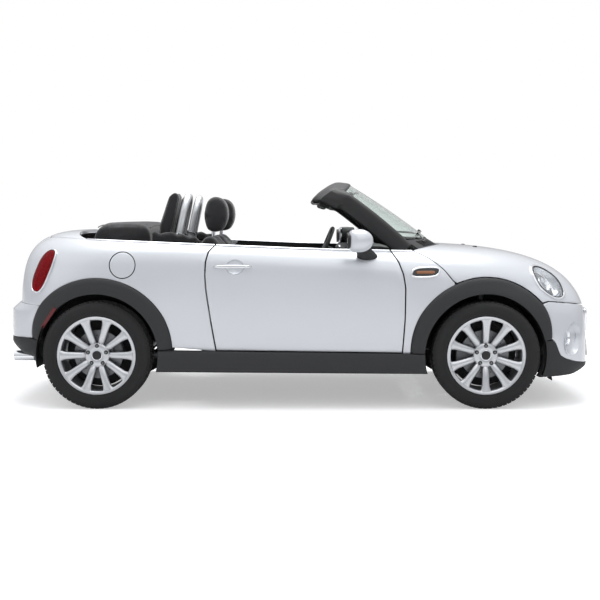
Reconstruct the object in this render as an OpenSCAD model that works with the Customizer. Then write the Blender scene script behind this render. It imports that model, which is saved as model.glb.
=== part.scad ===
// Small two-door convertible car, soft top folded, standing on its wheels.
// Frame: +X is the front, +Z is up, -Y is the car's right side, ground at Z = 0.
// The painted body follows one rounded shape; every panel is a piece cut from that shape.

/* [Wheels] */
// Distance between the axles
wheelbase = 2387; // [2000:1:2900]
// Distance of each wheel's middle from the car's centre plane
half_track = 730; // [650:1:900]
// Outside radius of a tyre
tyre_r = 331; // [290:1:360]
// Width of a tyre
tyre_w = 205; // [165:1:225]
// Radius of a wheel rim's edge
rim_r = 240; // [200:1:255]
// Radius of the brake discs
disc_r = 150; // [120:1:175]
// Air between a tyre's tread and its arch
arch_gap = 45; // [35:1:60]
// Width of a black arch trim, from its inner to its outer edge
trim_w = 98; // [60:1:110]

/* [Body] */
// Width over the doors
body_w = 1660; // [1500:1:2000]
// Length of the nose ahead of the front axle
front_overhang = 719; // [650:1:850]
// Length of the tail behind the rear axle
rear_overhang = 554; // [520:1:700]
// Height of the body's highest skin, under the folded roof
crest_z = 1038; // [960:1:1120]
// Height of the belt line at the middle of the car
belt_z = 990; // [930:1:1040]
// Height of the top of the sill covers
sill_z = 350; // [300:1:400]
// Height of the underside
floor_z = 226; // [150:1:240]
// Width of the gap round a door, a lid or the hood
shut_gap = 6.5; // [5:0.5:10]
// Thickness of the painted body panels
panel_t = 26; // [15:1:40]
// Thickness of a door, with its inner panel
door_t = 128; // [90:1:160]

/* [Windscreen] */
// Height of the top of the windscreen frame
header_z = 1414; // [1300:1:1500]
// Thickness of the windscreen glass
glass_t = 6; // [4:1:10]

/* [Cabin] */
// Distance of a front seat's middle from the centre plane
seat_y = 350; // [300:5:400]
// Width of a front seat
seat_w = 480; // [400:10:520]
// Diameter of the steering wheel
steering_d = 370; // [340:5:400]

/* [Hidden] */

$fn = 64;

// How far the rear bumper stands out, and the grille
bulge = 55;
grille_proud = 10;
front_axle = (wheelbase + rear_overhang + bulge - front_overhang - grille_proud) / 2;
rear_axle = front_axle - wheelbase;
nose_tip = front_axle + front_overhang;
tail_tip = rear_axle - rear_overhang;
half_w = body_w / 2;
arch_r = tyre_r + arch_gap;
trim_r = arch_r + trim_w;
seat_gap = 0.3;

// The body shape. "level" is the height above the ground plane after the belt's slight
// forward slope is taken out, so one level is one line round the whole car.
rake = 0.041;
mid_x = 200;
waist_level = 740;
round_level = 600;
nose_len = 928;
tail_len = 540;
sill_tuck = 50;
nose_corners = [[300, 5.5], [500, 5], [650, 4.2], [800, 3.2], [900, 2.9], [1040, 2.7]];
tail_corners = [[300, 6], [500, 5.5], [650, 5], [800, 4.2], [900, 3.8], [1040, 3.2]];

function level(p) = p[2] + rake * p[0];
function at_level(x, y, lev) = [x, y, lev - rake * x];
function round_off(t, n) = pow(1 - pow(max(0, min(1, t)), n), 1 / n);
// Half length ahead of and behind the straight middle, inset by d
function nose_x(lev, d) = nose_tip - nose_len - tuck(lev, 317, 45)
    + (nose_len - d) * round_off((lev - round_level) / (crest_z - d - round_level), 2.6);
function tail_x(lev, d) = tail_tip + tail_len + tuck(lev, 330, 30)
    - (tail_len - d) * round_off((lev - round_level) / (crest_z - d - round_level), 3.4);
// How far the body draws in below a level
function tuck(lev, start, rate) = rate * pow(max(0, start - lev) / 45, 1.5);
function width_at(lev, d) = lev > waist_level
    ? (half_w - d) * round_off((lev - waist_level) / (crest_z - d - waist_level), 4.5)
    : half_w - d - sill_tuck * pow((waist_level - lev) / 540, 2);
function reach(x, lev, d) = x > mid_x ? (x - mid_x) / (nose_x(lev, d) - mid_x)
    : x < -mid_x ? (x + mid_x) / (tail_x(lev, d) + mid_x) : 0;
function corner(x, lev) = lookup(lev, x > 0 ? nose_corners : tail_corners);
function side_y(x, z, d = 0) = let(lev = z + rake * x)
    width_at(lev, d) * round_off(reach(x, lev, d), corner(x, lev));
function outside(p, d) = let(lev = level(p), n = corner(p[0], lev))
    lev >= crest_z - d
    || pow(reach(p[0], lev, d), n) + pow(abs(p[1]) / width_at(lev, d), n) > 1;
// Where the line from c through q leaves the body shape inset by d
function skin(c, q, d, lo = 0, hi = 8, k = 22) = let(m = (lo + hi) / 2, p = c + (q - c) * m)
    k == 0 ? p : outside(p, d) ? skin(c, q, d, lo, m, k - 1) : skin(c, q, d, m, hi, k - 1);

function lerp(a, b, t) = a + (b - a) * t;
function unit(v) = v / norm(v);
function mirror_y(pts) = [for (p = pts) [p[0], -p[1], p[2]]];
function reversed(v) = [for (i = [len(v) - 1:-1:0]) v[i]];
// Surface between four edge curves: c0 and c1 along the grid, d0 and d1 across it
function patch(c0, c1, d0, d1) = let(n = len(c0) - 1, m = len(d0) - 1)
    [for (i = [0:n]) [for (j = [0:m]) let(u = i / n, v = j / m)
        c0[i] * (1 - v) + c1[i] * v + d0[j] * (1 - u) + d1[j] * u
        - c0[0] * (1 - u) * (1 - v) - c0[n] * u * (1 - v)
        - c1[0] * (1 - u) * v - c1[n] * u * v]];
// Point inside the car from which q is projected, so that neighbouring panels' edges agree
function core(q) = let(over = lookup(q[2], [[180, 0], [300, 150], [420, 330]]))
    [max(rear_axle - over, min(front_axle + over, q[0])), max(-450, min(450, q[1])),
        max(320, min(700, q[2]))];
function on_body(q, d = 0) = skin(core(q), q, d);
function on_skin(grid, d) = [for (row = grid) [for (q = row) on_body(q, d)]];

// Closed solid between an outer and an inner grid of points
module sheet(outer, inner) {
    n = len(outer) - 1;
    m = len(outer[0]) - 1;
    q = (n + 1) * (m + 1);
    function at(i, j, k) = k * q + i * (m + 1) + j;
    function quad(a, b, c, d) = [[a, b, c], [a, c, d]];
    faces = concat(
        [for (i = [0:n - 1], j = [0:m - 1])
            each quad(at(i, j, 0), at(i, j + 1, 0), at(i + 1, j + 1, 0), at(i + 1, j, 0))],
        [for (i = [0:n - 1], j = [0:m - 1])
            each quad(at(i, j, 1), at(i + 1, j, 1), at(i + 1, j + 1, 1), at(i, j + 1, 1))],
        [for (i = [0:n - 1])
            each quad(at(i, 0, 0), at(i + 1, 0, 0), at(i + 1, 0, 1), at(i, 0, 1))],
        [for (i = [0:n - 1])
            each quad(at(i, m, 0), at(i, m, 1), at(i + 1, m, 1), at(i + 1, m, 0))],
        [for (j = [0:m - 1])
            each quad(at(0, j, 0), at(0, j, 1), at(0, j + 1, 1), at(0, j + 1, 0))],
        [for (j = [0:m - 1])
            each quad(at(n, j, 0), at(n, j + 1, 0), at(n, j + 1, 1), at(n, j, 1))]);
    polyhedron([for (r = outer) each r, for (r = inner) each r], faces);
}

// Solid swept through a list of equal rings of points
module loft(rings) {
    k = len(rings[0]);
    n = len(rings) - 1;
    sides = [for (i = [0:n - 1], j = [0:k - 1]) let(a = i * k + j, b = i * k + (j + 1) % k)
        each [[a, b, b + k], [a, b + k, a + k]]];
    polyhedron([for (r = rings) each r],
        concat([[for (j = [k - 1:-1:0]) j]], sides, [[for (j = [0:k - 1]) n * k + j]]));
}

// Round bar from a to b
module bar(a, b, r) {
    v = b - a;
    translate(a)
        rotate([0, acos(v[2] / norm(v)), atan2(v[1], v[0])])
            cylinder(h = norm(v), r = r);
}

module both_sides() {
    children();
    mirror([0, 1, 0]) children();
}

// ---- Lines that panels share ----

function sill_top(x) = sill_z - 0.0125 * x;
function side_pt(x, z) = [x, -side_y(x, z), z];
function tail_pt(y, lev) = at_level(-mid_x + (tail_x(lev, 0) + mid_x)
    * round_off(abs(y) / width_at(lev, 0), lookup(lev, tail_corners)), y, lev);
function nose_pt(y, lev) = at_level(mid_x + (nose_x(lev, 0) - mid_x)
    * round_off(abs(y) / width_at(lev, 0), lookup(lev, nose_corners)), y, lev);

// Arch trims: b is the angle above the axle, from the bumper side (0) to the sill side (180)
function trim_edge(b) = trim_r - 50 * pow(max(0, 40 - b) / 28, 1.5) - 12 * max(0, b - 150) / 30;
function arch_xz(dir, r, b) = [(dir > 0 ? front_axle : rear_axle) + dir * r * cos(b),
    tyre_r + r * sin(b)];
function arch_pt(dir, r, b) = let(p = arch_xz(dir, r, b)) side_pt(p[0], p[1]);
arc_step = 8;
// Fixed panels stand off the trim so that their chords still clear it
chord_gap = seat_gap + trim_r * (1 - cos(arc_step / 2));
function panel_edge(dir, b, gap = chord_gap) = arch_pt(dir, trim_edge(b) + gap, b);
function arc_pts(dir, b0, b1, gap = chord_gap) = let(n = ceil(abs(b1 - b0) / arc_step))
    [for (i = [0:n]) panel_edge(dir, lerp(b0, b1, i / n), gap)];
trim_b0 = 13;
function trim_b1(dir) = 180 - asin((sill_top(arch_xz(dir, arch_r, 180)[0]) + 2 - tyre_r) / arch_r);

// Shut lines, as distances from the axles, by height
front_shut = [[340, -517], [550, -503], [747, -501], [826, -514], [904, -543], [985, -596]];
rear_shut = [[340, 738], [551, 703], [735, 677], [826, 671], [905, 675], [965, 691], [1020, 742]];
hood_shut = [[768, -185], [810, -218], [855, -254], [890, -296], [927, -346], [972, -438]];
function door_front_x(z) = front_axle + lookup(z, front_shut);
function door_rear_x(z) = rear_axle + lookup(z, rear_shut);
function hood_side_x(z) = front_axle + lookup(z, hood_shut);
shoulder = belt_z - 4;
belt_curve = 0.018;
function shoulder_z(x) = shoulder - rake * x + belt_curve * max(0, x);

// ---- Doors and front side panels ----

lip_t = 26;
lip_w = 80;
jamb_slope = 0.1;

module door_shell() {
    nx = 14;
    nz = 14;
    outer = [for (i = [0:nx]) [for (j = [0:nz]) let(u = i / nx, v = j / nz,
        zm = lerp(sill_z, belt_z, v),
        x = lerp(door_rear_x(zm), door_front_x(zm), u),
        z = lerp(sill_top(x) + shut_gap, shoulder_z(x), v),
        x2 = lerp(door_rear_x(z), door_front_x(z), u)) side_pt(x2, z)]];
    inner = [for (i = [0:nx]) [for (j = [0:nz]) let(p = outer[i][j],
        deep = max(36, -p[1] - (half_w - door_t)),
        d = i >= nx - 1 ? lip_t : deep)
        p + [i == 0 ? d * jamb_slope : 0, d, 0]]];
    sheet(outer, inner);
}

module door_right() color("gainsboro") door_shell();
module door_left() color("gainsboro") mirror([0, 1, 0]) door_shell();

module front_side_panel() {
    b_top = 180 - atan2(768 - tyre_r, 185) + 0.3;
    foot = sill_top(front_axle - trim_r) + 2 * seat_gap;
    b_foot = 180 - asin((foot - tyre_r) / (trim_edge(170) + chord_gap));
    arc = arc_pts(1, b_foot, b_top);
    up = [for (z = [790:30:970]) side_pt(hood_side_x(z) - shut_gap - 2, z)];
    front = concat(arc, up);
    n = len(front) - 1;
    zs = [for (p = front) p[2]];
    head = shoulder_z(door_front_x(980));
    rear = [for (j = [0:n]) let(z = lerp(foot, head, j / n)) side_pt(door_front_x(z) + shut_gap + 1.5, z)];
    top_end = side_pt(cowl_side - shut_gap - 2, shoulder_z(cowl_side));
    ahead = concat([for (j = [0:n - 1]) front[j]], [top_end]);
    outer = [for (i = [0:4]) [for (j = [0:n]) let(p = lerp(rear[j], ahead[j], i / 4))
        side_pt(p[0], p[2])]];
    sheet(outer, [for (i = [0:4]) [for (p = outer[i])
        lerp(p + [0, panel_t, 0], on_body(p, panel_t), i / 4)]]);
}

module front_side_panels() color("gainsboro") both_sides() front_side_panel();

// ---- Quarters, deck and boot lid ----

lamp_y = 430;
bumper_z = 640;
bumper_level = bumper_z + rake * tail_tip;
deck_x = rear_axle - 90;
tail_hub = [rear_axle + 250, 0, 450];
bumper_b = asin((bumper_z - rake * (rear_overhang - 0.77 * trim_r) - tyre_r)
    / (trim_r + chord_gap));

module quarter_panel() {
    arc = arc_pts(-1, bumper_b, trim_b1(-1) - 1);
    corner_y = arc[0][1];
    z_foot = sill_top(rear_axle + 738) + 2 * seat_gap;
    foot = side_pt(door_rear_x(z_foot) - shut_gap - 2, z_foot);
    tail = [for (i = [0:7]) tail_pt(lerp(-lamp_y, corner_y, i / 8), bumper_level)];
    below = concat(tail, arc, [lerp(arc[len(arc) - 1], foot, 0.5), foot]);
    n = len(below) - 1;
    z_head = shoulder_z(rear_axle + 715);
    head_x = door_rear_x(z_head) - shut_gap - 2;
    tail_x0 = tail_pt(-lamp_y, shoulder)[0];
    above = [for (i = [0:n]) let(x = lerp(tail_x0, head_x, i / n)) side_pt(x, shoulder_z(x))];
    heights = [z_foot, 430, 510, 590, 670, 735, 780, 826, 865, 905, 940, 965, z_head];
    back = [for (j = [0:12]) tail_pt(-lamp_y, lerp(bumper_level, shoulder, j / 12))];
    front = [for (z = heights) side_pt(door_rear_x(z) - shut_gap - 2, z)];
    grid = patch(below, above, back, front);
    // Near the door the panel's edge runs straight inwards, as the door's own edge does
    inner = [for (row = grid) [for (q = row)
        let(t = max(0, min(1, (q[0] - rear_axle - 400) / 200)))
        lerp(on_body(q, panel_t), on_body(q) + [0, panel_t, 0], t)]];
    sheet(on_skin(grid, 0), inner);
}

flap_at = [rear_axle + 162, 884];
flap_r = 77;
flap_t = 4;
flap_gap = 7;
module quarter_panels() color("gainsboro") {
    difference() {
        quarter_panel();
        translate([flap_at[0], -half_w - 40, flap_at[1]])
            rotate([-90, 0, 0]) cylinder(h = 40 + panel_t + 30, r = flap_r + flap_gap);
    }
    mirror([0, 1, 0]) quarter_panel();
    fuel_cup();
    lid_stops();
}

// Cup behind the fuel flap, with the buffer that the closed flap rests on
cup_y = -half_w + 105;
module fuel_cup() {
    function ring(r, y) = [for (k = [0:31]) [flap_at[0] + r * cos(11.25 * k), y,
        flap_at[1] + r * sin(11.25 * k)]];
    function rim(r) = [for (p = ring(r, 0)) side_pt(p[0], p[2]) + [0, 12, 0]];
    r = flap_r + flap_gap;
    loft([ring(r, cup_y - 6), rim(r), rim(r + 4), ring(r + 4, cup_y)]);
    stop = side_pt(flap_at[0] - 45, flap_at[1]);
    translate([stop[0], cup_y - 3, stop[2]]) rotate([90, 0, 0])
        cylinder(h = cup_y - 3 - stop[1] - flap_t - 3 * seat_gap, r = 4);
}

// Buffers beside the boot opening, which the closed lid rests on
module lid_stops() both_sides() {
    stop = on_body([tail_tip, -lid_y + 12, bumper_z + 180], panel_t);
    translate(stop + [7 * seat_gap, 0, 0]) rotate([0, 90, 0]) cylinder(h = 12, r = 6);
    block(stop[0] + 8, stop[0] + 28, -lamp_y - 30, -lid_y + 20, stop[2] - 10, stop[2] + 10);
    block(stop[0] - 6, stop[0] + 28, -lamp_y - 30, -lamp_y - 8, stop[2] - 10, stop[2] + 10);
}

module fuel_flap() color("gainsboro") {
    n = 4;
    disc = [for (i = [-n:n]) [for (j = [-n:n]) let(
        x = flap_at[0] + flap_r * i / n, z = flap_at[1] + flap_r * j / n) side_pt(x, z)]];
    intersection() {
        sheet(disc, [for (row = disc) [for (p = row) p + [0, flap_t, 0]]]);
        translate([flap_at[0], -half_w - 40, flap_at[1]])
            rotate([-90, 0, 0]) cylinder(h = 120, r = flap_r);
    }
}

module rear_deck() color("gainsboro") {
    rim = shoulder + 3 * seat_gap;
    n = 12;
    tail_x0 = tail_pt(-lamp_y, rim)[0];
    right = [for (i = [0:n]) let(x = lerp(deck_x, tail_x0, i / n)) side_pt(x, rim - rake * x)];
    corner_y = right[0][1];
    fore = [for (j = [12:-1:-12]) let(s = j / 12, y = -s * corner_y,
        x = deck_x - 90 * (1 - pow(abs(s), 6)))
        abs(s) == 1 ? [x, y, right[0][2]] : skin([x, y, 300], [x, y, 800], 0)];
    rear = [for (j = [12:-1:-12]) tail_pt(j / 12 * lamp_y, rim)];
    grid = patch(mirror_y(right), right, fore, rear);
    sheet(on_skin(grid, 0), on_skin(grid, panel_t));
}

lid_y = lamp_y - shut_gap;
lid_low = bumper_z + 9.6 + rake * tail_tip;
lid_high = shoulder - shut_gap;
module boot_lid() color("gainsboro") {
    top = [for (j = [8:-1:-8]) tail_pt(j / 8 * lid_y, lid_high)];
    foot = [for (j = [8:-1:-8]) tail_pt(j / 8 * lid_y, lid_low)];
    left = [for (i = [0:10]) tail_pt(lid_y, lerp(lid_high, lid_low, i / 10))];
    grid = patch(left, mirror_y(left), top, foot);
    sheet(on_skin(grid, 0), on_skin(grid, panel_t));
}

// ---- Hood ----

nose_hub = [front_axle - 250, 0, 350];
cowl_front = front_axle - 201;
cowl_side = front_axle - 438;
hood_gap = chord_gap + shut_gap;
hood_b = asin((650 - tyre_r) / (trim_r + hood_gap));
hood_corner = panel_edge(1, hood_b, hood_gap);
function over(x, y) = skin([x, y, 300], [x, y, 800], 0);
function cowl_edge(s, back = 0) = let(x = lerp(cowl_front, cowl_side, pow(abs(s), 2.4)) - back,
    z = shoulder_z(cowl_side), p = side_pt(cowl_side - back, z))
    abs(s) == 1 ? [p[0], -s * p[1], z] : over(x, s * side_y(cowl_side, z));
// Line between hood and front bumper; s runs from -1 at the right to 1 at the left
function hood_line(s, drop) = let(z = lerp(592, hood_corner[2], pow(abs(s), 1.6)))
    nose_pt(s * -hood_corner[1], z + rake * (nose_tip - 60 * s * s) - drop);

module hood() color("gainsboro") {
    shut = [for (z = [955, 930, 900, 865, 830, 795]) side_pt(hood_side_x(z), z)];
    b0 = 180 - atan2(768 - tyre_r, 185) - 0.8;
    right = concat([cowl_edge(-1)], shut, arc_pts(1, b0, hood_b, hood_gap));
    n = len(right) - 1;
    rear = [for (j = [-12:12]) cowl_edge(j / 12)];
    front = concat([right[n]], [for (j = [-11:11]) hood_line(j / 12, 0)], [mirror_y(right)[n]]);
    grid = patch(right, mirror_y(right), rear, front);
    sheet(on_skin(grid, 0), on_skin(grid, panel_t));
}

// Point on the cowl: s across from -1 to 1, t from the glass (0) to the hood (1)
function cowl_pt(s, t) = lerp(screen(0.93 * s, 0) - screen_n * (glass_t + 2 * seat_gap),
    cowl_edge(0.88 * s, shut_gap + 12) - [0, 0, 9], t);
module cowl_panel() color("black") {
    n = 12;
    m = 4;
    grid = [for (i = [0:m]) [for (j = [-n:n]) cowl_pt(j / n, i / m)]];
    sheet(grid, [for (row = grid) [for (p = row) p - [0, 0, 16]]]);
}

// ---- Bumpers and valances ----

bumper_hub = [front_axle + 60, 0, 420];
function fx(d) = front_axle + d;
edge_b = trim_b0;
white_edge = concat(
    [for (q = [[444, 403], [461, 360], [478, 322], [514, 300], [583, 278], [661, 262]])
        side_pt(fx(q[0]), q[1])],
    [for (y = [-480:120:-120]) nose_pt(y, lerp(245, 262, pow(-y / 578, 2)) + rake * nose_tip)]);
function across(half, mid) = concat(half, [mid], reversed(mirror_y(half)));

module front_bumper() color("gainsboro") {
    corner0 = panel_edge(1, edge_b);
    foot = across(concat([corner0], white_edge), nose_pt(0, 245 + rake * nose_tip));
    n = len(foot) - 1;
    b1 = hood_b - 1.2;
    right = [for (i = [0:6]) panel_edge(1, lerp(b1, edge_b, i / 6))];
    top_s = [for (j = [0:n]) let(t = 2 * j / n - 1) t];
    top = [for (j = [0:n]) j == 0 ? right[0] : j == n ? mirror_y(right)[0]
        : hood_line(top_s[j], shut_gap)];
    grid = patch(right, mirror_y(right), top, foot);
    sheet(on_skin(grid, 0), on_skin(grid, panel_t));
}

module front_valance() color("dimgray") {
    n_side = len(white_edge);
    start = [arch_pt(1, arch_r + 4, edge_b - 0.5)];
    lower = function(p) p - [0, 0, seat_gap * 5];
    half_top = concat(start, [lower(panel_edge(1, edge_b - 1))], [for (p = white_edge) lower(p)]);
    top = across(half_top, lower(nose_pt(0, 245 + rake * nose_tip)));
    half_foot = concat([arch_pt(1, arch_r + 4, -18)],
        [for (i = [0:n_side]) let(t = (i + 1) / (n_side + 1), p = half_top[i + 1])
            on_body([p[0] - 20, p[1], lerp(172, 190, t)])]);
    foot = across(half_foot, on_body([nose_tip - 90, 0, 190]));
    right = [for (i = [0:5]) arch_pt(1, arch_r + 4, lerp(edge_b - 0.5, -18, i / 5))];
    grid = patch(right, mirror_y(right), top, foot);
    sheet(on_skin(grid, 0), on_skin(grid, panel_t - 4));
}

function bulged(p) = let(t = max(0, min(1, (rear_axle - 390 - p[0]) / 120)),
    f = lookup(p[2], [[400, 0.8], [430, 1], [598, 1], [640, 0.15], [645, 0]]))
    p - [bulge * f * t * t * (3 - 2 * t), 0, 0];

module rear_bumper() color("gainsboro") {
    b1 = bumper_b - 0.4;
    right = [for (i = [0:6]) panel_edge(-1, lerp(edge_b, b1, i / 6))];
    n = 24;
    top = [for (j = [0:n]) let(s = 2 * j / n - 1, p = right[6])
        j == 0 ? p : j == n ? mirror_y(right)[6]
        : tail_pt(-s * p[1], bumper_level - 3 * seat_gap)];
    foot = [for (j = [0:n]) let(s = 2 * j / n - 1, p = right[0])
        j == 0 ? p : j == n ? mirror_y(right)[0] : tail_pt(-s * p[1], 430 + rake * tail_tip)];
    grid = patch(foot, top, right, mirror_y(right));
    outer = [for (row = on_skin(grid, 0)) [for (p = row) bulged(p)]];
    inner = on_skin(grid, panel_t);
    sheet(reversed(outer), reversed(inner));
}

module rear_valance() color("dimgray") {
    n = 24;
    gap = seat_gap * 3;
    right = [for (i = [0:5]) arch_pt(-1, arch_r + 4, lerp(-12, edge_b - 0.5, i / 5))];
    top = [for (j = [0:n]) let(s = 2 * j / n - 1, p = right[5])
        j == 0 ? p : j == n ? mirror_y(right)[5]
        : tail_pt(-s * p[1], 430 - gap + rake * tail_tip)];
    foot = [for (j = [0:n]) let(s = 2 * j / n - 1, p = right[0])
        j == 0 ? p : j == n ? mirror_y(right)[0] : tail_pt(-s * p[1], 255 + rake * tail_tip)];
    grid = patch(foot, top, right, mirror_y(right));
    difference() {
        sheet(reversed(on_skin(grid, 0)), reversed(on_skin(grid, panel_t)));
        // Notch for the tailpipe
        translate([tail_tip - 50, pipe_y, pipe_z]) rotate([0, 90, 0]) cylinder(h = 290, r = 41);
        block(tail_tip - 50, tail_tip + 240, pipe_y - 41, pipe_y + 41, 150, pipe_z);
    }
}

module wheel_arch_trim(dir) {
    n = 24;
    b1 = trim_b1(dir);
    rows = [for (i = [0:n]) let(b = lerp(trim_b0, b1, i / n)) [for (k = [0:4])
        let(p = arch_pt(dir, lerp(arch_r, trim_edge(b), [0, 0.05, 0.25, 0.9, 1][k]), b))
        [p, p - [0, [18, 20, 20, 14, 3][k], 0], p + [0, [30, 30, 18, 4, 3][k], 0]]]];
    outer = [for (r = rows) [for (q = r) q[1]]];
    inner = [for (r = rows) [for (q = r) q[2]]];
    if (dir < 0) sheet(outer, inner);
    else sheet(reversed(outer), reversed(inner));
}

module wheel_arch_trims() color("dimgray") both_sides() {
    wheel_arch_trim(1);
    wheel_arch_trim(-1);
}

// ---- Sills, floor and liners ----

module across_y(y0, y1) translate([0, y1, 0]) rotate([90, 0, 0])
    linear_extrude(y1 - y0) children();
module wheel_space(axle, r, y0, y1) translate([axle, 0, tyre_r]) rotate([90, 0, 0])
    translate([0, 0, -y1]) cylinder(h = y1 - y0, r = r, $fn = 128);

sill_in = half_w - 70;
module sill_cover() {
    difference() {
        across_y(-half_w - 5, -sill_in) polygon([
            [rear_axle + arch_r - 40, sill_top(rear_axle + arch_r - 40)],
            [front_axle - arch_r + 40, sill_top(front_axle - arch_r + 40)],
            [front_axle - arch_r + 40, 218], [rear_axle + arch_r - 40, 230]]);
        wheel_space(rear_axle, arch_r, -half_w - 10, -sill_in + 10);
        wheel_space(front_axle, arch_r, -half_w - 10, -sill_in + 10);
    }
}
module sill_covers() color("dimgray") both_sides() {
    sill_cover();
    // Buffer under the closed door
    translate([fx(-560), -half_w + 40, sill_top(fx(-560)) - 5])
        cylinder(h = 5 + shut_gap - 2 * seat_gap, r = 8);
}

house_y = half_w - 268;
bay_y = 440;
liner_t = 6;
module liner(axle, dir, y0, y1) {
    difference() {
        wheel_space(axle, arch_r + 2 + liner_t, y0, y1);
        wheel_space(axle, arch_r + 2, y0 - 1, y1 + 1);
        block(axle - 450, axle + 450, y0 - 2, y1 + 2, -100, tyre_r - 60);
        block(axle + (dir > 0 ? 0 : -450), axle + (dir > 0 ? 450 : 0), y0 - 2, y1 + 2, -100,
            tyre_r + 105);
    }
}
module arch_liners() color("black") both_sides() {
    liner(rear_axle, -1, house_y, half_w - 150);
    liner(front_axle, 1, bay_y, half_w - 115);
}

module block(x0, x1, y0, y1, z0, z1) translate([x0, y0, z0]) cube([x1 - x0, y1 - y0, z1 - z0]);

firewall_x = front_axle - 450;
rear_floor_z = 400;
heel_x = rear_axle + 640;
bulkhead_x = rear_axle + 250;
shelf_z = 950;
hood_stop_z = skin([nose_tip - 245, 300, 300], [nose_tip - 245, 300, 800], panel_t)[2] - 6.6;
foot_z = shoulder - 20;
carrier_z = 915;
tail_end = tail_tip + 90;
// Pads under the sills for a jack: their height, and their distance from the floor's ends
jack_t = 6;
jack_in = 90;
module floor_pan() color("dimgray") {
    block(heel_x, firewall_x, -sill_in, sill_in, floor_z, floor_z + 25);
    block(heel_x, firewall_x, -90, 90, floor_z + 25, 330);
    for (y = [-sill_in, sill_in - 60]) block(heel_x, firewall_x, y, y + 60, floor_z, 330);
    block(firewall_x, firewall_x + 20, -bay_y, bay_y, floor_z, 930);
    block(firewall_x - 20, firewall_x, -sill_in + 10, sill_in - 10, floor_z + 25, 880);
    block(firewall_x - 40, firewall_x - 16, -655, 655, 860, foot_z - seat_gap);
    for (y = [-430, 370]) block(firewall_x, nose_tip - 230, y, y + 60, 330, 430);
    for (y = [-bay_y, bay_y - 12]) block(firewall_x, nose_tip - 200, y, y + 12, 330, 690);
    block(nose_tip - 260, nose_tip - 230, -480, 480, 300, 700);
    for (y = [-300, 300]) translate([nose_tip - 245, y, 690])
        cylinder(h = hood_stop_z - 690, r = 6);
    block(heel_x - 20, heel_x, -house_y, house_y, floor_z, rear_floor_z + 20);
    block(tail_end, heel_x, -house_y, house_y, rear_floor_z, rear_floor_z + 20);
    for (y = [-house_y, house_y - 12])
        block(rear_axle - 384, rear_axle + 384, y, y + 12, rear_floor_z, 720);
    block(bulkhead_x, bulkhead_x + 15, -house_y, house_y, rear_floor_z, shelf_z);
    block(deck_x + 20, bulkhead_x, -house_y - 20, house_y + 20, shelf_z - 15, shelf_z);
    block(tail_end, tail_end + 15, -400, 400, rear_floor_z, 620);
    block(bulkhead_x, rear_axle + 500, -house_y, house_y, carrier_z - 15, carrier_z);
    both_sides() for (x = [heel_x + jack_in, firewall_x - jack_in])
        translate([x, 30 - sill_in, floor_z - jack_t]) cylinder(h = jack_t + 10, r = 28);
}

module engine() color("gray") {
    block(fx(-330), fx(230), -260, 260, 300, 720);
    // Mount arms that lie on the floor pan's two rails
    block(fx(-80), fx(0), -420, 420, 430 + seat_gap, 480);
}

// ---- Windscreen ----

screen_y = 640;
// u runs across from -1 to 1, v up from 0 at the cowl to 1 at the header
function screen(u, v) = let(a = abs(u),
    low = [fx(-297) - 215 * pow(a, 2.2), screen_y * u, 1047 - 8 * a * a],
    high = [fx(-807) - 60 * pow(a, 2.2), (screen_y - 75) * u, header_z - 21 - 62 * pow(a, 2.2)])
    lerp(low, high, v) + [18, 0, 18] * 4 * v * (1 - v) * 0.35;
screen_n = unit(cross([0, 1, 0], screen(0, 1) - screen(0, 0)));

// The glass ends at these shares of u and v; the frame starts a seat gap outside them
glass_u = 0.95;
glass_v = 0.985;
glass_n = 12;
glass_m = 6;
module windscreen() color("lightcyan", 0.4) {
    grid = [for (i = [0:glass_n]) [for (j = [0:glass_m])
        screen(lerp(-glass_u, glass_u, i / glass_n), lerp(0, glass_v, j / glass_m))]];
    sheet(grid, [for (r = grid) [for (p = r) p - glass_t * screen_n]]);
}

// Frame sections from the glass edge: [outwards in the glass plane, out of the plane]
pillar_cut = [[0, -10], [0, 4], [34, 8], [60, -6], [62, -60], [48, -108], [12, -100]];
header_cut = [[0, -10], [0, 4], [19, 6], [104, -39], [162, -179], [131, -200], [12, -68]];
module windscreen_frame() color("black") {
    u = glass_u + 0.0016;
    v = glass_v + 0.0025;
    side = [for (j = [0:glass_m - 1]) lerp(0, glass_v, j / glass_m)];
    path = concat([[-u, -0.12]], [for (q = side) [-u, q]], [[-u, v]],
        [for (i = [1:glass_n - 1]) [lerp(-glass_u, glass_u, i / glass_n), v]],
        [[u, v]], [for (q = reversed(side)) [u, q]], [[u, -0.12]]);
    pts = [for (q = path) screen(q[0], q[1])];
    n = len(pts) - 1;
    rings = [for (i = [0:n]) let(
        along = unit(pts[min(n, i + 1)] - pts[max(0, i - 1)]),
        out = -unit(cross(along, screen_n)),
        up = cross(along, out),
        f = path[i][1] < glass_v ? 0 : abs(path[i][0]) > glass_u ? 0.5 : 1)
        [for (k = [0:len(pillar_cut) - 1]) let(q = lerp(pillar_cut[k], header_cut[k], f))
            pts[i] + out * q[0] + up * q[1]]];
    difference() {
        loft(reversed(rings));
        block(fx(-700), fx(-100), -750, 750, 700, foot_z);
    }
}

module wipers() color("black") {
    for (y = [-430, 150]) {
        foot = cowl_pt(y / 600, 0.5) + [0, 0, 8];
        path = concat([foot + [0, 0, 7]], [for (t = [0:4])
            screen((y + 40 + 95 * t) / screen_y, 0.05 + 0.01 * t) + screen_n * 16]);
        loft([for (p = path) [for (k = [0:7]) p + [6 * cos(45 * k), 0, 6 * sin(45 * k)]]]);
        translate(foot) cylinder(h = 12, r = 12);
    }
}

// ---- Cabin ----

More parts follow.
